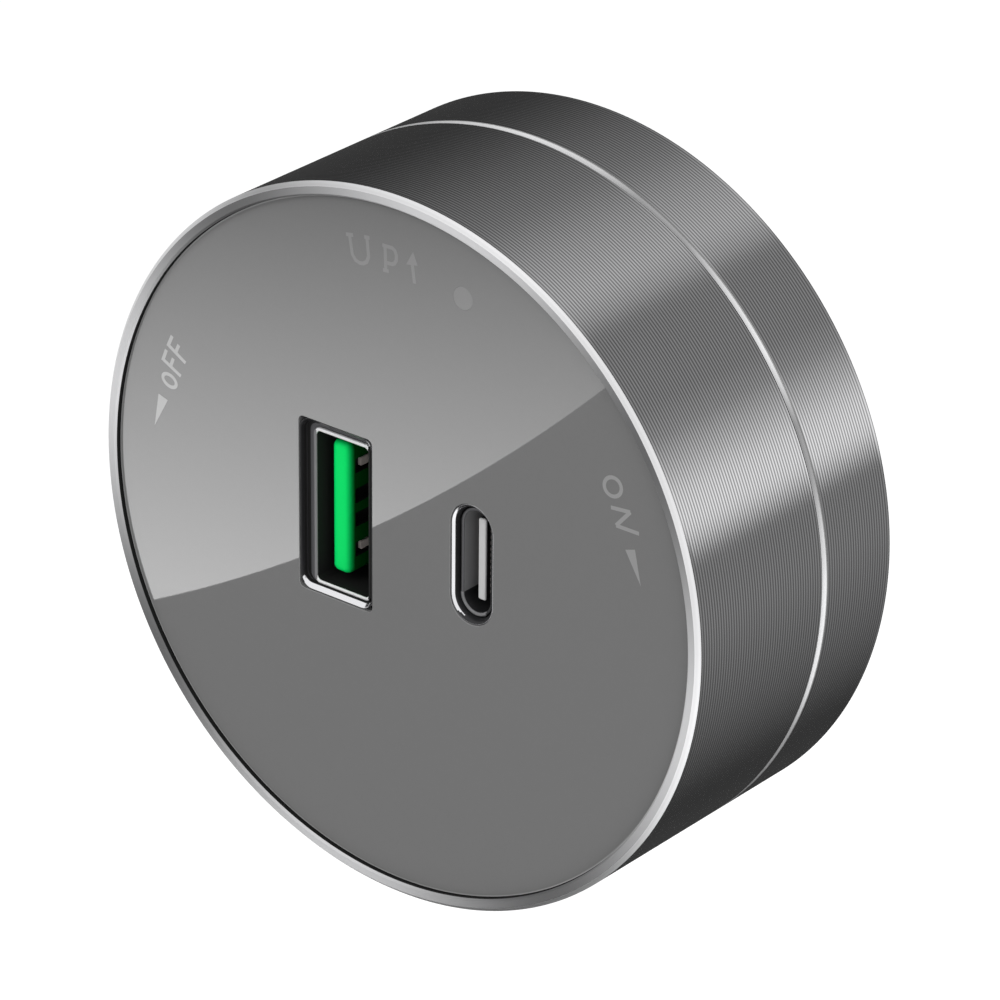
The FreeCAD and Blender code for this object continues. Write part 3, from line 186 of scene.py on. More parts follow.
def turnedFinish(name, look):
    shader = Shader(name)
    x, y, along = (shader.node("SeparateXYZ", None, {0: shader.place()}, axis) for axis in range(3))
    radius = (x * x + y * y).math("SQRT")
    # painted light on the tool marks: lighter towards each crest, darker in each floor
    paintedCrestLight = (along * (math.tau / look["pitch"])).math("COSINE") * 0.5 + 0.5
    where = shader.node("CombineXYZ", None, {0: radius * look["streaks"], 1: along * look["streaks"]})
    streak = shader.noise(1.0, look["streakDetail"], where)
    colour = shader.mix(shade(look["colour"], look["line"]), shade(look["colour"], 2 - look["line"]),
                        paintedCrestLight * (1 - look["streakShare"]) + streak * look["streakShare"])
    turn = (y * -1.0).math("ARCTAN2", x)
    # painted reflection: tones listed by angle about the axis
    if "around" in look:
        paintedReflection = shader.node("ValToRGB", {"stops": [((at + 180) / 360, tone) for at, tone in look["around"]]},
                           {0: turn * (1 / math.tau) + 0.5})
        colour = colour * paintedReflection
    # painted highlight: bright and dark lobes by angle about the axis
    if "lobes" in look:
        count, at, middle, swing = look["lobes"]
        paintedLobe = ((turn - math.radians(at)) * count).math("COSINE") * swing + middle
        colour = shader.mix((0.0, 0.0, 0.0), colour, paintedLobe)
    rough = look["rough"] + (streak - 0.5) * look["streakRough"]
    return shader.finish(shader.principled(Base_Color=colour, Metallic=look["metal"], Roughness=rough,
                                           Anisotropic=look["across"], Anisotropic_Rotation=look["acrossTurn"],
                                           Normal=shader.bump(streak, look["scratch"])))


finishes["turned_aluminium"] = turnedFinish("turnedGrey", turned)
# bare cuts, with painted light: lobes are (count, angle of one, middle, swing) of painted highlights, and around
# holds (angle, tone) of painted reflection, about the axis
cut = {**turned, "colour": (0.94, 0.94, 0.95), "line": 0.95, "rough": 0.3}
rim = {**turned, "colour": (0.8, 0.8, 0.81), "line": 0.97, "rough": 0.42, "across": 0.5, "scratch": 0.0001 * mm,
       "lobes": (4, 78, 0.57, 0.36)}
# the seam takes painted reflection tones around the axis, and its land shares them
seam = {**cut, "around": ((-180, 0.6), (-45, 0.5), (-25, 0.45), (-14, 0.9), (2, 0.95), (10, 0.75), (18, 0.4),
                          (27, 0.36), (33, 0.75), (38, 0.98), (48, 0.85), (54, 0.6), (58, 0.42), (68, 0.4),
                          (76, 0.7), (88, 0.95), (125, 0.95), (180, 0.6))}
finishes["cut_aluminium"] = turnedFinish("cutBright", {**cut, "lobes": (4, 75, 0.89, 0.06)})
finishes["rim_aluminium"] = turnedFinish("rimBright", rim)
finishes["seam_aluminium"] = turnedFinish("seamBright", seam)
finishes["seam_land"] = turnedFinish("seamSatin", {**seam, "colour": (0.5, 0.5, 0.5), "metal": 0.3})


# glossy lacquer of the face, with a faint orange peel and a painted highlight along its outer edge
lacquer = {"colour": (0.212, 0.212, 0.212), "rough": 0.008, "ior": 1.8,
           "peel": 2.2 * mm, "peelDetail": 1.0, "peelRough": 0.004, "peelDepth": 0.00006 * mm,
           "dust": 0.4 * mm, "dustDetail": 2.0, "dustTone": 0.015,
           "edge": (27.74 * mm, 27.86 * mm), "paintedEdgeHighlight": 1.9}


def lacquerFinish():
    shader = Shader("faceLacquer")
    peel = shader.noise(1 / lacquer["peel"], lacquer["peelDetail"])
    dust = shader.noise(1 / lacquer["dust"], lacquer["dustDetail"])
    x, z = (shader.node("SeparateXYZ", None, {0: shader.place()}, axis) for axis in (0, 2))
    # painted highlight: a lighter band along the plate's outer edge
    paintedReflection = shader.node("MapRange", None, {0: (x * x + z * z).math("SQRT"), 1: lacquer["edge"][0],
                                          2: lacquer["edge"][1]})
    low, high = (shade(lacquer["colour"], 1 + side * lacquer["dustTone"]) for side in (-1, 1))
    colour = shader.mix(shader.mix(low, high, dust), shade(lacquer["colour"], lacquer["paintedEdgeHighlight"]), paintedReflection)
    rough = lacquer["rough"] + peel * lacquer["peelRough"]
    return shader.finish(shader.principled(Base_Color=colour, Roughness=rough, IOR=lacquer["ior"],
                                           Normal=shader.bump(peel, lacquer["peelDepth"])))


finishes["face_lacquer"] = lacquerFinish()


# solder mask over copper tracks
board = {"mask": (0.012, 0.11, 0.04), "track": (0.03, 0.19, 0.07), "spacing": 1.6 * mm, "lines": 900.0,
         "lineFrom": 0.35, "height": 0.03 * mm, "strength": 0.5, "rough": 0.3, "roughSpread": 0.15, "mottle": 800.0}


def boardFinish():
    shader = Shader("boardMask")
    place = shader.place()
    cells = shader.node("TexVoronoi", {"feature": "F1", "distance": "MANHATTAN"},
                        {"Vector": place * (1.0, 0.0, 1.0), "Scale": 1 / board["spacing"]})
    tracks = (cells * (board["lines"] * board["spacing"])).math("SINE") > board["lineFrom"]
    colour = shader.mix(board["mask"], board["track"], tracks)
    rough = board["rough"] + shader.noise(board["mottle"]) * board["roughSpread"]
    return shader.finish(shader.principled(Base_Color=colour, Roughness=rough,
                                           Normal=shader.bump(tracks, board["height"], board["strength"])))


finishes["board_green"] = boardFinish()

# green tongue, with painted shade that darkens it away from its front edge
tongueLook = {"front": (0.0, 0.86, 0.165), "side": (0.0, 0.085, 0.008), "turns": (-21.56 * mm, -20.95 * mm),
              "grain": 0.2 * mm, "grainDetail": 3.0, "spread": 0.03, "rough": 0.45, "roughSpread": 0.1,
              "specular": 0.05, "depth": 0.001 * mm}


def tongueFinish():
    shader = Shader("greenPlastic")
    y = shader.node("SeparateXYZ", None, {0: shader.place()}, 1)
    # painted shade, deeper away from the front edge
    paintedDepthShade = shader.node("MapRange", None, {0: y, 1: tongueLook["turns"][0], 2: tongueLook["turns"][1]})
    grain = shader.noise(1 / tongueLook["grain"], tongueLook["grainDetail"])
    low, high = (shade(tongueLook["front"], 1 + side * tongueLook["spread"]) for side in (-1, 1))
    colour = shader.mix(shader.mix(low, high, grain), tongueLook["side"], paintedDepthShade)
    rough = tongueLook["rough"] + grain * tongueLook["roughSpread"]
    return shader.finish(shader.principled(Base_Color=colour, Roughness=rough,
                                           Specular_IOR_Level=tongueLook["specular"],
                                           Normal=shader.bump(grain, tongueLook["depth"])))


finishes["green_plastic"] = tongueFinish()

# grey inks of the prints, as glossy as the lacquer
inks = {"pale_ink": 0.46, "middle_ink": 0.35, "faint_ink": 0.275}
inkLook = {"rough": 0.03, "roughSpread": 0.02, "spread": 0.03, "depth": 0.00002 * mm, "more": {"IOR": 1.8}}
for name, tone in inks.items():
    finishes[name] = plainFinish(name, {"colour": (tone, tone, tone), **inkLook})
print(len(finishes), "finishes")


# mesh helpers, in mm
# turns a mesh into a piece: edges sharper than the given angle stay hard, finishes go on by material index
def dress(name, bm, body, slots, nodes=(), sharp=30, turnedOnAxis=False):
    bm.normal_update()
    for face in bm.faces:
        face.smooth = True
    for edge in bm.edges:
        edge.smooth = not (len(edge.link_faces) == 2 and edge.calc_face_angle(0.0) > math.radians(sharp))
    mesh = bpy.data.meshes.new(name)
    bm.to_mesh(mesh)
    bm.free()
    piece = bpy.data.objects.new(name, mesh)
    scene.collection.objects.link(piece)
    for slot in slots:
        mesh.materials.append(finishes[slot])
    if turnedOnAxis:
        piece.rotation_euler = (-math.pi / 2, 0, 0)
    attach(piece, body)
    if nodes:
        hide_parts(*nodes)
    return piece


# a closed profile of (radius, along, finish), turned about local Z, which lies along the part's axis
def lathe(bm, profile, segments, slots):
    rings = []
    for radius, along, _ in profile:
        rings.append([bm.verts.new((radius * mm * math.cos(math.tau * i / segments),
                                    radius * mm * math.sin(math.tau * i / segments), along * mm))
                      for i in range(segments)])
    for k, ring in enumerate(rings):
        following = rings[(k + 1) % len(rings)]
        for i in range(segments):
            j = (i + 1) % segments
            face = bm.faces.new((ring[i], ring[j], following[j], following[i]))
            face.material_index = slots.index(profile[k][2])
    bmesh.ops.recalc_face_normals(bm, faces=bm.faces)


leastFlat = 1e-4  # left straight between two round corners


# a rectangle with round corners, across the part's axis at one place along it
def roundedLoop(centre, width, height, radius, along, perCorner=8):
    radius = min(radius, width / 2 - leastFlat, height / 2 - leastFlat)
    points = []
    for corner, (sideX, sideZ) in enumerate(((1, 1), (-1, 1), (-1, -1), (1, -1))):
        for step in range(perCorner + 1):
            angle = math.radians(90 * corner + 90 * step / perCorner)
            points.append(Vector((centre[0] + sideX * (width / 2 - radius) + radius * math.cos(angle), along,
                                  centre[1] + sideZ * (height / 2 - radius) + radius * math.sin(angle))) * mm)
    return points


def loft(bm, loops, closed=True, caps=False):
    rings = [[bm.verts.new(point) for point in loop] for loop in loops]
    pairs = list(zip(rings, rings[1:])) + ([(rings[-1], rings[0])] if closed else [])
    faces = []
    for ring, following in pairs:
        for i in range(len(ring)):
            j = (i + 1) % len(ring)
            faces.append(bm.faces.new((ring[i], ring[j], following[j], following[i])))
    if caps:
        faces += [bm.faces.new(rings[0]), bm.faces.new(rings[-1])]
    return faces


def block(bm, low, high):
    verts = [bm.verts.new(Vector((x, y, z)) * mm) for x in (low[0], high[0]) for y in (low[1], high[1])
             for z in (low[2], high[2])]
    return [bm.faces.new([verts[i] for i in quad]) for quad in
            ((0, 1, 3, 2), (4, 6, 7, 5), (0, 4, 5, 1), (2, 3, 7, 6), (0, 2, 6, 4), (1, 5, 7, 3))]


def bevelEdges(bm, width, edges=None, segments=2, angle=30):
    if edges is None:
        edges = [edge for edge in bm.edges
                 if len(edge.link_faces) == 2 and edge.calc_face_angle(0.0) > math.radians(angle)]
    bmesh.ops.bevel(bm, geom=edges, offset=width * mm, offset_type="OFFSET", segments=segments, profile=0.5,
                    affect="EDGES", clamp_overlap=True)


# front ring: the knob's grip
frontRing = {"outer": 29.0, "bore": 27.93, "front": -23.5, "rear": -8.55, "rimChamfer": 0.35,
             "innerChamfer": 0.15, "edge": 0.04, "segments": 300, "sharp": 16}


# tool marks: shallow hollows in four steps each, whose crests stand on whole pitches along the axis. The first
# crest stands at least the share clear of a pitch past the start, and the last is a hair short of its pitch
def groovesBetween(start, end, radius, slotName, clear=0.1, hair=0.001):
    pitch, depth = turned["pitch"] / mm, turned["depth"] / mm
    points = [(radius, start, slotName)]
    for k in range(math.ceil(start / pitch + clear), math.floor(end / pitch)):
        for part in (0.0, 0.25, 0.5, 0.75):
            points.append((radius - depth * (1 - (2 * part - 1) ** 2), (k + part) * pitch, slotName))
    points.append((radius, math.floor(end / pitch) * pitch - hair, slotName))
    return points


def makeFrontRing(look):
    bm = bmesh.new()
    slots = ["turned_aluminium", "cut_aluminium", "bore_black", "rim_aluminium"]
    side, chamfer, wall, rimFlat = slots
    outer, bore, front, inner = (look[key] for key in ("outer", "bore", "front", "innerChamfer"))
    grooveEnd = look["rear"] - look["edge"]
    profile = [(bore, front + inner, rimFlat), (bore + inner, front, rimFlat),
               (outer - look["rimChamfer"], front, chamfer)]
    profile += groovesBetween(front + look["rimChamfer"], grooveEnd, outer, side)
    # the bore's wall is painted black as shade
    profile += [(outer, grooveEnd, side), (outer - look["edge"], look["rear"], side), (bore, look["rear"], wall)]
    lathe(bm, profile, look["segments"], slots)
    return dress("frontRing", bm, "knob", slots, ["front_ring"], look["sharp"], True)


makeFrontRing(frontRing)

# rear ring: fixed on the base, with the bright chamfer at the seam
rearRing = {"outer": 29.0, "bore": 27.95, "front": -8.25, "rear": -0.05, "seamChamfer": 0.24, "land": 0.14,
            "edge": 0.06, "segments": 300, "sharp": 16}


def makeRearRing(look):
    bm = bmesh.new()
    slots = ["turned_aluminium", "seam_aluminium", "seam_land"]
    side, bright, land = slots
    outer, bore, front, chamfer = (look[key] for key in ("outer", "bore", "front", "seamChamfer"))
    seamEnd, grooveEnd = front + chamfer, look["rear"] - look["edge"]
    profile = [(bore, front, side), (outer - chamfer, front, bright), (outer, seamEnd, land)]
    profile += groovesBetween(seamEnd + look["land"], grooveEnd, outer, side)
    profile += [(outer, grooveEnd, side), (outer - look["edge"], look["rear"], side), (bore, look["rear"], side)]
    lathe(bm, profile, look["segments"], slots)
    return dress("rearRing", bm, "base", slots, ["rear_ring"], look["sharp"], True)


makeRearRing(rearRing)
print("rings turned")

# face plate: holes are (x, width, height, corner) at the ports' height, the dot's hole is (x, z, radius)
facePlate = {"radius": 27.9, "front": -23.0, "rear": -21.5, "edge": 0.03, "segments": 300, "perCorner": 12,
             "portHeight": 1.2, "holeA": (-5.88, 7.26, 14.4, 0.5), "holeC": (7.4, 4.1, 9.9, 2.05),
             "dot": (6.45, 22.49, 0.905), "dotEdge": 0.004, "dotSegments": 48}


def makeFacePlate(look):
    bm = bmesh.new()

    def circle(x, z, radius, count, along):
        turns = [math.tau * i / count for i in range(count)]
        return [Vector((x + radius * math.cos(t), along, z + radius * math.sin(t))) * mm for t in turns]

    def outline(kind, grow, along):
        if kind == "outer":
            return circle(0.0, 0.0, look["radius"] + grow, look["segments"], along)
        if kind == "dot":
            x, z, radius = look["dot"]
            return circle(x, z, radius - grow, look["dotSegments"], along)
        x, width, height, corner = look[kind]
        return roundedLoop((x, look["portHeight"]), width - 2 * grow, height - 2 * grow, corner - grow, along,
                           look["perCorner"])

    fronts, rears = [], []
    for kind in ("outer", "holeA", "holeC", "dot"):
        edge = look["dotEdge"] if kind == "dot" else look["edge"]
        rings = [[bm.verts.new(point) for point in outline(kind, grow, along)] for grow, along in
                 ((-edge, look["front"]), (0.0, look["front"] + edge), (0.0, look["rear"]))]
        for ring, following in zip(rings, rings[1:]):
            for i in range(len(ring)):
                j = (i + 1) % len(ring)
                bm.faces.new((ring[i], ring[j], following[j], following[i]))
        fronts += [bm.edges.get((rings[0][i - 1], rings[0][i])) for i in range(len(rings[0]))]
        rears += [bm.edges.get((rings[-1][i - 1], rings[-1][i])) for i in range(len(rings[-1]))]
    bmesh.ops.triangle_fill(bm, use_beauty=True, edges=fronts, normal=(0, -1, 0))
    bmesh.ops.triangle_fill(bm, use_beauty=True, edges=rears, normal=(0, 1, 0))
    bmesh.ops.recalc_face_normals(bm, faces=bm.faces)
    return dress("facePlate", bm, "knob", ["face_lacquer"], ["face_plate"])


makeFacePlate(facePlate)

# prints on the face: open strokes, closed rings and arrow heads given as (radius, angle) about the axis
prints = {
    "proud": 0.004, "sunk": 0.01, "layer": 0.0006, "ringSegments": 48, "leastMitre": 0.6, "tip": 0.001,
    "printUp": {"weight": 0.3, "ink": "faint_ink",
                "strokes": [[(24.8, 100.1), (23.4, 100.1), (22.95, 99.5), (22.78, 98.6), (22.78, 97.7),
                             (22.95, 96.8), (23.4, 96.2), (24.8, 96.2)],
                            [(24.9, 100.9), (24.9, 99.3)], [(24.9, 96.8), (24.9, 95.6)],
                            [(22.75, 92.2), (24.5, 92.2)], [(22.65, 92.9), (22.65, 91.5)],
                            [(24.6, 92.8), (24.6, 90.6), (24.45, 90.0), (24.1, 89.65), (23.7, 89.7), (23.42, 90.1),
                             (23.3, 90.7), (23.3, 91.8)],
                            [(23.95, 86.05), (22.45, 85.2)]],
                "heads": [[(24.94, 86.0), (23.7, 87.4), (23.97, 84.8)]],
                "rings": []},
    "printOff": {"weight": 0.3, "ink": "pale_ink",
                 "strokes": [[(22.85, 156.1), (24.75, 155.65)], [(24.85, 155.95), (24.85, 153.4)],
                             [(24.0, 155.5), (24.0, 153.9)],
                             [(22.85, 159.5), (24.75, 159.05)], [(24.85, 159.35), (24.85, 156.8)],
                             [(24.0, 158.9), (24.0, 157.3)]],
                 "heads": [[(24.45, 166.2), (23.47, 166.3), (24.40, 172.9)]],
                 "rings": [(23.72, 162.1, 1.7, 3.0)]},
    "printOn": {"weight": 0.31, "ink": "middle_ink",
                "strokes": [[(22.74, 26.3), (24.41, 24.8)], [(24.41, 24.8), (22.66, 22.8)],
                            [(22.66, 22.8), (24.61, 20.9)]],
                "heads": [[(22.90, 18.1), (23.83, 18.1), (23.71, 11.3)]],
                "rings": [(23.65, 29.8, 1.9, 4.3)]},
}


def polar(radius, degrees):
    return Vector((radius * math.cos(math.radians(degrees)), radius * math.sin(math.radians(degrees))))


# a flat strip between two edges, closed on itself or capped at its ends
def ribbon(bm, left, right, front, rear, closed=False):
    stations = [[bm.verts.new(Vector((x, y, z)) * mm) for (x, z), y in
                 ((a, front), (b, front), (b, rear), (a, rear))] for a, b in zip(left, right)]
    pairs = list(zip(stations, stations[1:])) + ([(stations[-1], stations[0])] if closed else [])
    for here, there in pairs:
        for i in range(4):
            j = (i + 1) % 4
            bm.faces.new((here[i], here[j], there[j], there[i]))
    if not closed:
        bm.faces.new(stations[0])
        bm.faces.new(stations[-1])


def makePrint(name, look, front, rear):
    bm = bmesh.new()
    half = look["weight"] / 2
    for stroke in look["strokes"]:
        front -= prints["layer"]  # each stroke lies a hair above the one before, where they cross
        line = [polar(*point) for point in stroke]
        left, right = [], []
        for i, point in enumerate(line):
            before = (point - line[max(i - 1, 0)]).normalized() if i else (line[1] - point).normalized()
            after = (line[min(i + 1, len(line) - 1)] - point).normalized() if i + 1 < len(line) else before
            along = (before + after).normalized()
            turn = Vector((-along.y, along.x))
            reach = half / max(prints["leastMitre"], turn.dot(Vector((-before.y, before.x))))
            left.append(point + turn * reach)
            right.append(point - turn * reach)
        ribbon(bm, left, right, front, rear)
    for tip, one, other in look["heads"]:
        front -= prints["layer"]
        blunt = polar(*tip) + Vector((prints["tip"], prints["tip"]))
        ribbon(bm, [polar(*tip), polar(*one)], [blunt, polar(*other)], front, rear)
    for radius, angle, tall, wide in look["rings"]:
        middle = polar(radius, angle)
        outward = middle.normalized()
        aside = Vector((-outward.y, outward.x))
        reach = math.radians(wide) * radius / 2
        turns = [math.tau * i / prints["ringSegments"] for i in range(prints["ringSegments"])]
        outer = [middle + outward * (tall / 2 * math.cos(t)) + aside * (reach * math.sin(t)) for t in turns]
        inner = [middle + outward * ((tall / 2 - look["weight"]) * math.cos(t))
                 + aside * ((reach - look["weight"]) * math.sin(t)) for t in turns]
        ribbon(bm, outer, inner, front, rear, True)
    bmesh.ops.recalc_face_normals(bm, faces=bm.faces)
    return dress(name, bm, "knob", [look["ink"]])


for word in ("printUp", "printOff", "printOn"):
    makePrint(word, prints[word], facePlate["front"] - prints["proud"], facePlate["front"] + prints["sunk"])

# the dot: front of the light pipe, flush with the face, given in steps of (radius, along)
lightPipe = {"x": 6.45, "z": 22.49, "perCorner": 12,
             "steps": ((0.89, -23.0), (0.9, -22.99), (0.9, -19.9), (1.75, -19.9), (1.8, -19.85), (1.8, -19.15),
                       (1.75, -19.1), (0.9, -19.1), (0.9, -12.65), (0.85, -12.6))}
bm = bmesh.new()
loft(bm, [roundedLoop((lightPipe["x"], lightPipe["z"]), 2 * radius, 2 * radius, radius, along,
                      lightPipe["perCorner"]) for radius, along in lightPipe["steps"]], False, True)
bmesh.ops.recalc_face_normals(bm, faces=bm.faces)
dress("ledLightPipe", bm, "knob", ["milky_plastic"], ["led_light_pipe"])
print("face done")

# USB-A socket: shell with a rolled rim inside a polished mouth, painted dark inside as shade. The mouth lies side
# and end beyond the shell, shifted to the left; the shell sits lower than the port's height by drop
usbA = {"x": -5.7, "width": 5.7, "height": 13.1, "corner": 0.6, "leastCorner": 0.12, "cornerGrow": 0.8, "wall": 0.3,
        "mouth": -22.9, "rim": -22.4, "ledge": -22.2, "rear": -11.4, "side": 0.72, "end": 0.60, "ledgeWidth": 0.52,
        "mouthShift": -0.2, "drop": 0.22, "litFrom": 0.45, "sharp": 50}


def makeUsbAShell(look):
    bm = bmesh.new()
    side, end, wall, mouth, ledge, rim = (look[key] for key in ("side", "end", "wall", "mouth", "ledge", "rim"))
    slots = ["socket_steel", "socket_dark", "socket_rim", "bore_black", "socket_shade", "socket_edge"]
    steel, dark, bright, black, dim, edge = slots
    lip = "lip"  # steel where it catches the light and dark elsewhere
    # grow to the sides, grow to the ends, along, finish up to the next step
    path = [(0, 0, look["rear"], steel), (0, 0, ledge + 0.2, steel), (side, end, ledge + 0.02, steel),
            (side, end, mouth + 0.03, lip), (side - 0.03, end - 0.01, mouth, lip),
            (side - 0.06, end - 0.04, mouth, lip), (side - 0.09, end - 0.07, mouth + 0.03, lip),
            (side - 0.12, 0.24, mouth + 0.3, dark), (side - 0.14, 0.2, mouth + 0.36, black),
            (side - 0.16, 0.15, ledge - 0.12, dark), (look["ledgeWidth"], 0.12, ledge - 0.05, black),
            (0.3, 0.09, ledge - 0.035, dim), (0.06, 0.05, ledge - 0.02, dim),
            (0.03, 0.03, ledge, dark), (0.0, 0.0, ledge, bright), (0.0, 0.0, rim + 0.1, bright),
            (-0.03, -0.03, rim + 0.03, bright), (-0.09, -0.09, rim, bright), (-0.21, -0.21, rim, bright),
            (-wall + 0.03, -wall + 0.03, rim + 0.03, bright), (-wall, -wall, rim + 0.1, black),
            (-wall, -wall, look["rear"], black)]
    loops = []
    for growX, growZ, along, _ in path:
        corner = max(look["leastCorner"], look["corner"] + min(growX, growZ) * look["cornerGrow"])
        out = min(1.0, max(0.0, growX / look["ledgeWidth"]))
        centre = (look["x"] + look["mouthShift"] * out, facePlate["portHeight"] - look["drop"] * (1 - out))
        loops.append(roundedLoop(centre, look["width"] + 2 * growX, look["height"] + 2 * growZ, corner, along))
    faces = loft(bm, loops)
    bmesh.ops.recalc_face_normals(bm, faces=bm.faces)
    leftEnd, rightEnd = ((look["x"] + sign * (look["width"] / 2 - wall)) * mm for sign in (-1, 1))
    # painted light and shade: the lip is steel where it faces up and dark below, the rim greyer on the left and
    # black on the right
    for i, face in enumerate(faces):
        kind, x = path[i // len(loops[0])][3], face.calc_center_median().x
        if kind == lip:
            kind = steel if face.normal.z > look["litFrom"] else dark
        elif kind == bright and x < leftEnd:
            kind = edge
        elif kind == bright and x > rightEnd:
            kind = black
        face.material_index = slots.index(kind)
    return dress("usbAShell", bm, "knob", slots, ["usb_a_shell"], look["sharp"])


makeUsbAShell(usbA)

# green tongue with four contact slots on its right side, on a block at the rear of the shell; the block and the
# slot walls are painted black as shade
tongueA = {"left": -7.52, "right": -5.68, "front": -21.6, "block": -13.0, "rear": -11.4, "height": 11.1,
           "blockWidth": 5.0, "round": 0.6, "roundSegments": 4, "slotFront": -20.9, "slotDepth": 0.5,
           "slotHeight": 1.2, "slotPast": 0.5, "slots": (3.5, 1.0, -1.0, -3.5), "apart": 0.01, "sharp": 40}


def makeTongueA(look):
    bm = bmesh.new()
    finishNames = ["green_plastic", "bore_black"]
    black = finishNames.index("bore_black")
    z = facePlate["portHeight"] - usbA["drop"]
    half = look["height"] / 2
    block(bm, (look["left"], look["front"], z - half), (look["right"], look["block"], z + half))
    front = [edge for edge in bm.edges
             if any(vert.co.y < (look["front"] + look["apart"]) * mm for vert in edge.verts)]
    bevelEdges(bm, look["round"], front, look["roundSegments"])
    foot = block(bm, (usbA["x"] - look["blockWidth"] / 2, look["block"], z - half),
                 (usbA["x"] + look["blockWidth"] / 2, look["rear"], z + half))
    # painted shade: the block is black
    for face in foot:
        face.material_index = black
    bmesh.ops.recalc_face_normals(bm, faces=bm.faces)
    tongue = dress("usbATongue", bm, "knob", finishNames, ["usb_a_tongue"], look["sharp"])
    cutter = bmesh.new()
    reach = look["slotHeight"] / 2
    for spot in look["slots"]:
        walls = block(cutter, (look["right"] - look["slotDepth"], look["slotFront"], z + spot - reach),
                      (look["right"] + look["slotPast"], look["block"] - look["apart"], z + spot + reach))
        for face in walls:
            face.material_index = black
    bmesh.ops.recalc_face_normals(cutter, faces=cutter.faces)
    mesh = bpy.data.meshes.new("slotCutter")
    cutter.to_mesh(mesh)
    cutter.free()
    tool = bpy.data.objects.new("slotCutter", mesh)
    scene.collection.objects.link(tool)
    carve = tongue.modifiers.new("slots", "BOOLEAN")
    carve.operation, carve.solver, carve.object = "DIFFERENCE", "EXACT", tool
    bpy.context.view_layer.update()
    result = bpy.data.meshes.new_from_object(tongue.evaluated_get(bpy.context.evaluated_depsgraph_get()))
    tongue.modifiers.clear()
    tongue.data = result
    bpy.data.objects.remove(tool)
    return tongue


makeTongueA(tongueA)

# contacts lying in the slots: a thin strip to the board, with a raised pad that shows at the mouth
contactsA = {"pads": ((3.5, -20.0, -19.1), (1.0, -18.6, -17.7), (-1.0, -18.6, -17.7), (-3.5, -20.0, -19.1)),
             "rear": -11.5, "padHeight": 0.66, "padThick": 0.3, "stripHeight": 0.5, "stripThick": 0.1,
             "lift": 0.005, "apart": 0.01, "edge": 0.04}


def makeContactsA(look):
    bm = bmesh.new()
    base = tongueA["right"] - tongueA["slotDepth"] + look["lift"]
    z = facePlate["portHeight"] - usbA["drop"]
    for spot, front, back in look["pads"]:
        pad = (front, back, look["padHeight"], look["padThick"])
        strip = (back + look["apart"], look["rear"], look["stripHeight"], look["stripThick"])
        for start, end, height, thick in (pad, strip):
            block(bm, (base, start, z + spot - height / 2), (base + thick, end, z + spot + height / 2))
    bevelEdges(bm, look["edge"])
    bmesh.ops.recalc_face_normals(bm, faces=bm.faces)
    return dress("usbAContacts", bm, "knob", ["contact_plating"], ["usb_a_contacts"])


makeContactsA(contactsA)

# USB-C socket: bevelled trim, shell and tongue. Tongue steps are (inset, corner, along). What is lit on the trim's
# bevel, the shell's rim and its wall ends so far right of the middle
usbC = {"x": 7.4, "width": 3.16, "height": 8.94, "wall": 0.3, "rim": -22.35, "rear": -11.4, "trimOuter": 0.42,
        "trimInner": 0.05, "trimFront": -22.9, "trimRear": -21.5, "bendFrom": 2.9, "perCorner": 14, "sharp": 50,
        "bevelLit": (-1.35, -1.1, -0.7), "rimLit": 0.9, "wallLit": 0.2,
        "tongueWide": 0.7, "tongueTall": 6.69, "tonguePerCorner": 6, "tongueSharp": 40,
        "tongueSteps": ((0.12, 0.1, -21.75), (0.0, 0.14, -21.69), (0.0, 0.14, -21.59), (0.0, 0.14, -13.0)),
        "block": -13.0, "blockInset": 0.35}
stadiumSlots = ["socket_steel", "socket_dark", "socket_shade", "socket_edge"]


def stadiumLoops(look, path):
    return [roundedLoop((look["x"], facePlate["portHeight"]), look["width"] + 2 * grow, look["height"] + 2 * grow,
                        look["width"] / 2 + grow, along, look["perCorner"]) for grow, along in path]


# a tube from steps of (grow, along, finish, until): painted shade makes it dark to the right of until, and where
# the lower bend hides it
def stadiumTube(name, look, path, node):
    steel, dark, dim, edge = stadiumSlots
    bm = bmesh.new()
    loops = stadiumLoops(look, [(grow, along) for grow, along, *_ in path])
    for i, face in enumerate(loft(bm, loops)):
        kind, until = path[i // len(loops[0])][2:]
        middle = face.calc_center_median() / mm
        if until is not None and middle.x > look["x"] + until:
            kind = dark
        elif kind in (dim, edge) and middle.z < facePlate["portHeight"] - look["bendFrom"]:
            kind = edge if kind == dim else dark
        face.material_index = stadiumSlots.index(kind)
    bmesh.ops.recalc_face_normals(bm, faces=bm.faces)
    dress(name, bm, "knob", stadiumSlots, [node], look["sharp"])


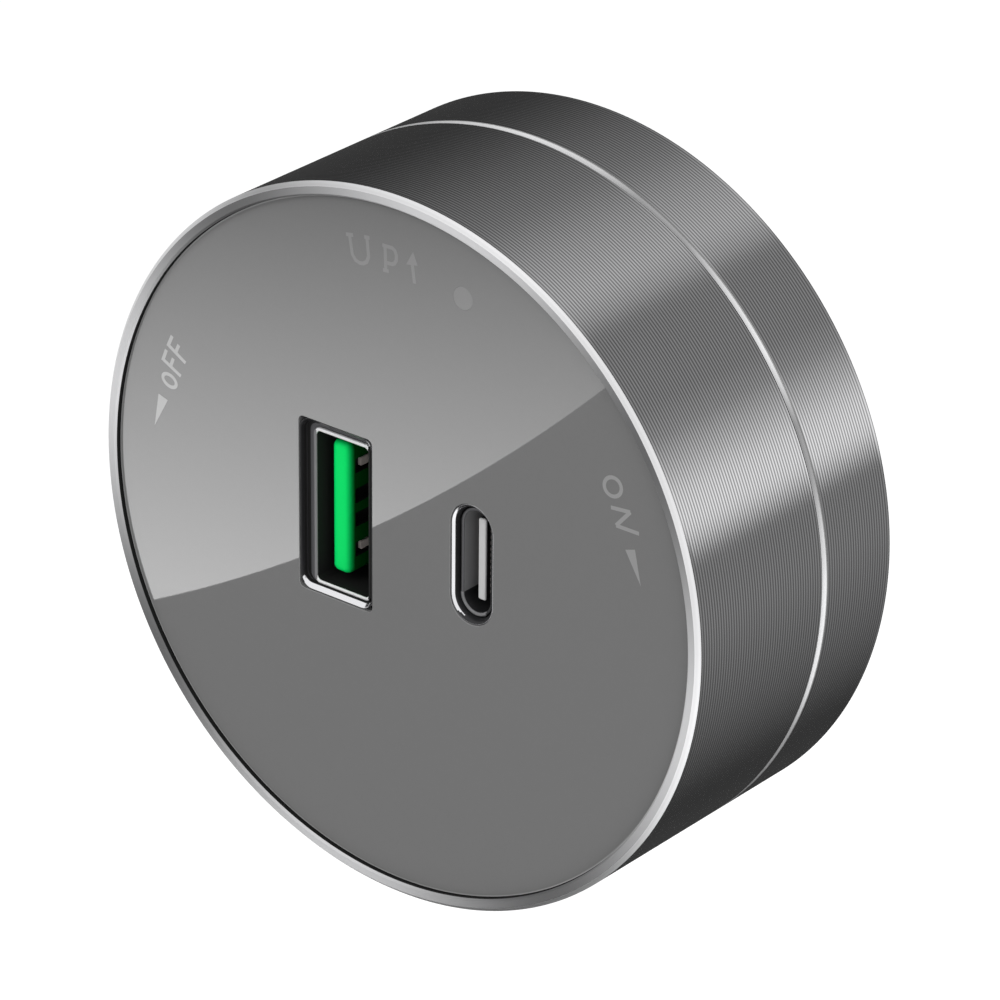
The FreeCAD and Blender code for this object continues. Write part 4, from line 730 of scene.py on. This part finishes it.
def makeUsbC(look):
    outer, inner, front, rim, wall = (look[key] for key in ("trimOuter", "trimInner", "trimFront", "rim", "wall"))
    steel, dark, dim, edge = stadiumSlots
    first, second, third = look["bevelLit"]
    # painted light and shade: the trim's bands are steel where lit and dark where in shade
    stadiumTube("usbCTrim", look, [
        (outer, look["trimRear"], steel, None), (outer, front + 0.02, steel, None),
        (outer - 0.02, front, steel, None), (outer - 0.03, front, dark, None),
        (outer - 0.05, front + 0.015, steel, first), (outer - 0.11, front + 0.075, steel, second),
        (outer - 0.17, front + 0.135, steel, third), (outer - 0.22, front + 0.19, dark, None),
        (inner + 0.02, front + 0.5, dark, None), (inner, look["trimRear"], steel, None)], "usb_c_trim")
    lit = look["rimLit"]
    stadiumTube("usbCShell", look, [
        (0, look["rear"], steel, None), (0, rim + 0.1, dim, lit), (-0.04, rim + 0.03, dim, lit),
        (-0.1, rim, dim, lit), (-0.2, rim, dim, lit), (-wall + 0.04, rim + 0.03, dim, lit),
        (-wall, rim + 0.1, edge, look["wallLit"]), (-wall, rim + 4.0, dark, None),
        (-wall, look["rear"], dark, None)], "usb_c_shell")
    bm = bmesh.new()
    finishNames = ["grey_plastic", "bore_black"]
    black = finishNames.index("bore_black")
    loops = [roundedLoop((look["x"], facePlate["portHeight"]), look["tongueWide"] - inset,
                         look["tongueTall"] - inset, corner, along, look["tonguePerCorner"])
             for inset, corner, along in look["tongueSteps"]]
    # painted shade: the tongue's sides behind its front and its foot are black
    for face in loft(bm, loops, False, True)[2 * len(loops[0]):-2]:  # pale front, dark sides behind it
        face.material_index = black
    foot = stadiumLoops(look, [(-look["blockInset"], look["block"]), (-look["blockInset"], look["rear"])])
    for face in loft(bm, foot, False, True):
        face.material_index = black
    bmesh.ops.recalc_face_normals(bm, faces=bm.faces)
    dress("usbCTongue", bm, "knob", finishNames, ["usb_c_tongue"], look["tongueSharp"])


makeUsbC(usbC)
print("sockets done")

# the back: copies of the moulded and stamped CAD parts with rounded edges, as (node, body, finish, edge width)
soften = {"merge": 0.002 * mm, "flat": 0.5, "sharp": 20}
backPieces = {"basePlate": ("base_plate", "base", "black_plastic", 0.12),
              "rotorHub": ("rotor_hub", "knob", "black_plastic", 0.10),
              "contactHead": ("contact_head", "knob", "black_plastic", 0.15),
              "headCap": ("head_cap", "knob", "black_plastic", 0.15),
              "liveContact": ("live_contact", "knob", "contact_brass", 0.08),
              "neutralContact": ("neutral_contact", "knob", "contact_brass", 0.08),
              "retainingRing": ("retaining_ring", "knob", "spring_steel", 0.06),
              "headScrew": ("head_screw", "knob", "screw_steel", 0.06)}
for name, (node, body, slotName, width) in backPieces.items():
    bm = bmesh.new()
    bm.from_mesh(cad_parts[node].data)
    bmesh.ops.remove_doubles(bm, verts=bm.verts, dist=soften["merge"])
    bmesh.ops.dissolve_limit(bm, angle_limit=math.radians(soften["flat"]), verts=bm.verts, edges=bm.edges)
    bevelEdges(bm, width)
    for face in bm.faces:
        face.material_index = 0
    dress(name, bm, body, [slotName], [node], soften["sharp"])
print("back softened")

# nodes carried over from the CAD as they are, most of them inside
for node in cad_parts.values():
    slotName = node.data.materials[0].name.split(".")[0]
    for index in range(len(node.data.materials)):
        node.data.materials[index] = finishes[slotName]

# camera, fitted to the face and rim in the photograph; right and up shift the target in the picture's plane. Sizes
# in mm, apart from near and far
view = {"azimuth": 39.134, "elevation": 25.942, "roll": 0.528, "distance": 438.15, "lens": 207.3, "sensor": 36.0,
        "target": (0.0, -12.0, 0.0), "right": 0.881, "up": 0.153, "near": 0.01, "far": 10.0}
azimuth, elevation, roll = (math.radians(view[key]) for key in ("azimuth", "elevation", "roll"))
back = Vector((math.sin(azimuth) * math.cos(elevation), -math.cos(azimuth) * math.cos(elevation),
               math.sin(elevation)))
across = Vector((math.cos(azimuth), math.sin(azimuth), 0.0))
upward = Vector((-math.sin(azimuth) * math.sin(elevation), math.cos(azimuth) * math.sin(elevation),
                 math.cos(elevation)))
target = Vector(view["target"]) + across * view["right"] + upward * view["up"]
eye = target + back * view["distance"]
camera = bpy.data.objects.new("camera", bpy.data.cameras.new("camera"))
scene.collection.objects.link(camera)
camera.data.sensor_width, camera.data.lens = view["sensor"], view["lens"]
camera.data.clip_start, camera.data.clip_end = view["near"], view["far"]
right = across * math.cos(roll) + upward * math.sin(roll)
up = upward * math.cos(roll) - across * math.sin(roll)
camera.matrix_world = Matrix.Translation(eye * mm) @ Matrix((right, up, back)).transposed().to_4x4()
scene.camera = camera


# stage pieces; the floor, tent and lamps are in metres
def stagePiece(name, verts, faces, material):
    mesh = bpy.data.meshes.new(name)
    mesh.from_pydata(verts, [], faces)
    mesh.materials.append(material)
    piece = bpy.data.objects.new(name, mesh)
    scene.collection.objects.link(piece)
    return piece


def glossyOnly(piece):
    piece.visible_camera = False
    piece.visible_diffuse = False
    piece.visible_transmission = False
    piece.visible_shadow = False


# 1 for rays from the camera, off a gloss or through glass; 0 for rays that only light
def seenStraight(shader):
    path = [shader.node("LightPath", output=kind) for kind in
            ("Is Camera Ray", "Is Glossy Ray", "Is Transmission Ray")]
    return path[0].math("MAXIMUM", path[1]).math("MAXIMUM", path[2])


# pale floor far enough down that the shadow falls outside the picture
floorLook = {"height": -0.6, "half": 4.0, "colour": (0.8, 0.8, 0.8), "top": 0.5}
shader = Shader("paleFloor")
matte = shader.node("BsdfDiffuse", None, {"Color": floorLook["colour"]})
glow = shader.node("Emission", None, {"Color": (1.0, 1.0, 1.0), "Strength": floorLook["top"]})
both = shader.node("AddShader", None, {0: matte, 1: glow})
floorFinish = shader.finish(shader.node("MixShader", None, {0: seenStraight(shader), 1: matte, 2: both}))
half, low = floorLook["half"], floorLook["height"]
stagePiece("floor", [(-half, -half, low), (half, -half, low), (half, half, low), (-half, half, low)],
           [(0, 1, 2, 3)], floorFinish)

# round light tent behind the face, seen only in the metal: strips are (angle, level), full is the brightest level
tent = {"radius": 0.5, "front": -0.12, "rear": 4.0, "full": 2.0, "from": 0, "to": 360, "segments": 180,
        "strips": ((-180, 0.06), (-88, 0.06), (-58, 0.24), (-26, 0.41), (-4.5, 0.37), (-3, 0.9), (4, 1.6),
                   (13, 1.45), (22, 0.95), (31, 0.56), (40, 0.43), (66, 0.4), (69, 0.62), (78, 0.9), (92, 0.72),
                   (110, 0.38), (142, 0.15), (163, 0.065), (180, 0.06))}
# short piece beside the rim on the left, which only the chamfer mirrors
tentLeft = {**tent, "radius": 0.49, "rear": 0.26, "from": 158, "to": 236,
            "strips": ((-180, 0.75), (-148, 0.7), (-124, 0.06), (158, 0.06), (174, 0.6), (180, 0.75))}


def makeTent(name, look):
    shader = Shader(name)
    place = shader.place()
    x, z = (shader.node("SeparateXYZ", None, {0: place}, axis) for axis in (0, 2))
    turn = z.math("ARCTAN2", x) * (1 / math.tau) + 0.5
    ramp = shader.node("ValToRGB", {"stops": [((at + 180) / 360, level / look["full"])
                                                for at, level in look["strips"]]},
                       {0: turn})
    off, full = (shader.node("Emission", None, {"Strength": level}) for level in (0.0, look["full"]))
    material = shader.finish(shader.node("MixShader", None, {0: ramp, 1: off, 2: full}))
    count, first, last = look["segments"], look["from"], look["to"]
    turns = [math.radians(first + (last - first) * i / count) for i in range(count + 1)]
    verts = [(look["radius"] * math.cos(t), along, look["radius"] * math.sin(t))
             for along in (look["front"], look["rear"]) for t in turns]
    faces = [(i, i + 1, count + 2 + i, count + 1 + i) for i in range(count)]
    glossyOnly(stagePiece(name, verts, faces, material))


makeTent("lightTent", tent)
makeTent("lightLeft", tentLeft)

# card mirrored in the face: a round soft light whose rim crosses the plate, fading towards its top, in an even
# grey. In mm, with its edge and fade given where they show on the plate
card = {"distance": 150.0, "edgeCentre": (-105.6, 148.6), "edgeRadius": 180.0, "fadeTop": 27.5, "fadeEnd": -6.5,
        "fadeTilt": 0.17, "level": 3.15, "left": -560.0, "right": 190.0, "low": -560.0, "high": 200.0,
        "plateReach": 42.0, "surround": 0.85}


def makeCard(look):
    reach = 1 + look["distance"] / abs(eye.y - facePlate["front"])

    def onCard(x, z):
        return reach * x + (1 - reach) * eye.x, reach * z + (1 - reach) * eye.z

    shader = Shader("cardLight")
    place = shader.place()
    x, z = (shader.node("SeparateXYZ", None, {0: place}, axis) for axis in (0, 2))
    centre, middle = onCard(*look["edgeCentre"]), onCard(0, 0)
    offX, offZ = x - centre[0] * mm, z - centre[1] * mm
    inside = (offX * offX + offZ * offZ) < (look["edgeRadius"] * reach * mm) ** 2
    top, end = ((onCard(0, height)[1] - look["fadeTilt"] * middle[0]) * mm for height in
                (look["fadeTop"], look["fadeEnd"]))
    fade = shader.node("MapRange", None, {0: z - x * look["fadeTilt"], 1: top, 2: end, 3: 0.0, 4: 1.0})
    acrossX, acrossZ = x - middle[0] * mm, z - middle[1] * mm
    beyond = (acrossX * acrossX + acrossZ * acrossZ) > (look["plateReach"] * mm) ** 2
    black = shader.node("Emission", None, {"Strength": 0.0})
    bright = shader.node("Emission", None, {"Strength": look["level"]})
    even = shader.node("Emission", None, {"Strength": look["surround"]})
    facing = shader.node("MixShader", None, {0: inside * fade, 1: black, 2: bright})
    material = shader.finish(shader.node("MixShader", None, {0: beyond, 1: facing, 2: even}))
    y = (facePlate["front"] - look["distance"]) * mm
    verts = [((middle[0] + look[a]) * mm, y, (middle[1] + look[b]) * mm) for a, b in
             (("left", "low"), ("right", "low"), ("right", "high"), ("left", "high"))]
    glossyOnly(stagePiece("lightCard", verts, [(0, 1, 2, 3)], material))


makeCard(card)

# soft lamps, hidden from the metal because the tent and card stand for them there
lamps = {"lampFront": {"at": (-0.35, -0.9, 0.75), "size": 0.7, "watts": 5.0},
         "lampRight": {"at": (0.95, -0.25, 0.45), "size": 0.7, "watts": 2.2},
         "lampBack": {"at": (-0.3, 0.95, 0.6), "size": 0.7, "watts": 3.0}}
for name, look in lamps.items():
    lamp = bpy.data.lights.new(name, "AREA")
    lamp.size = look["size"]
    lamp.energy = look["watts"]
    holder = bpy.data.objects.new(name, lamp)
    scene.collection.objects.link(holder)
    holder.location = look["at"]
    holder.rotation_euler = (-Vector(look["at"])).to_track_quat("-Z", "Y").to_euler()
    holder.visible_glossy = False

# white room, dimmer where it only lights
room = {"colour": (1.0, 1.0, 1.0), "seen": 1.0, "fill": 0.62}
shader = Shader("whiteRoom", True)
seen, fill = (shader.node("Background", None, {"Color": room["colour"], "Strength": room[key]})
              for key in ("seen", "fill"))
scene.world = shader.finish(shader.node("MixShader", None, {0: seenStraight(shader), 1: fill, 2: seen}))
scene.view_settings.view_transform = "Standard"
print("stage, lights and camera set")

bpy.context.view_layer.update()
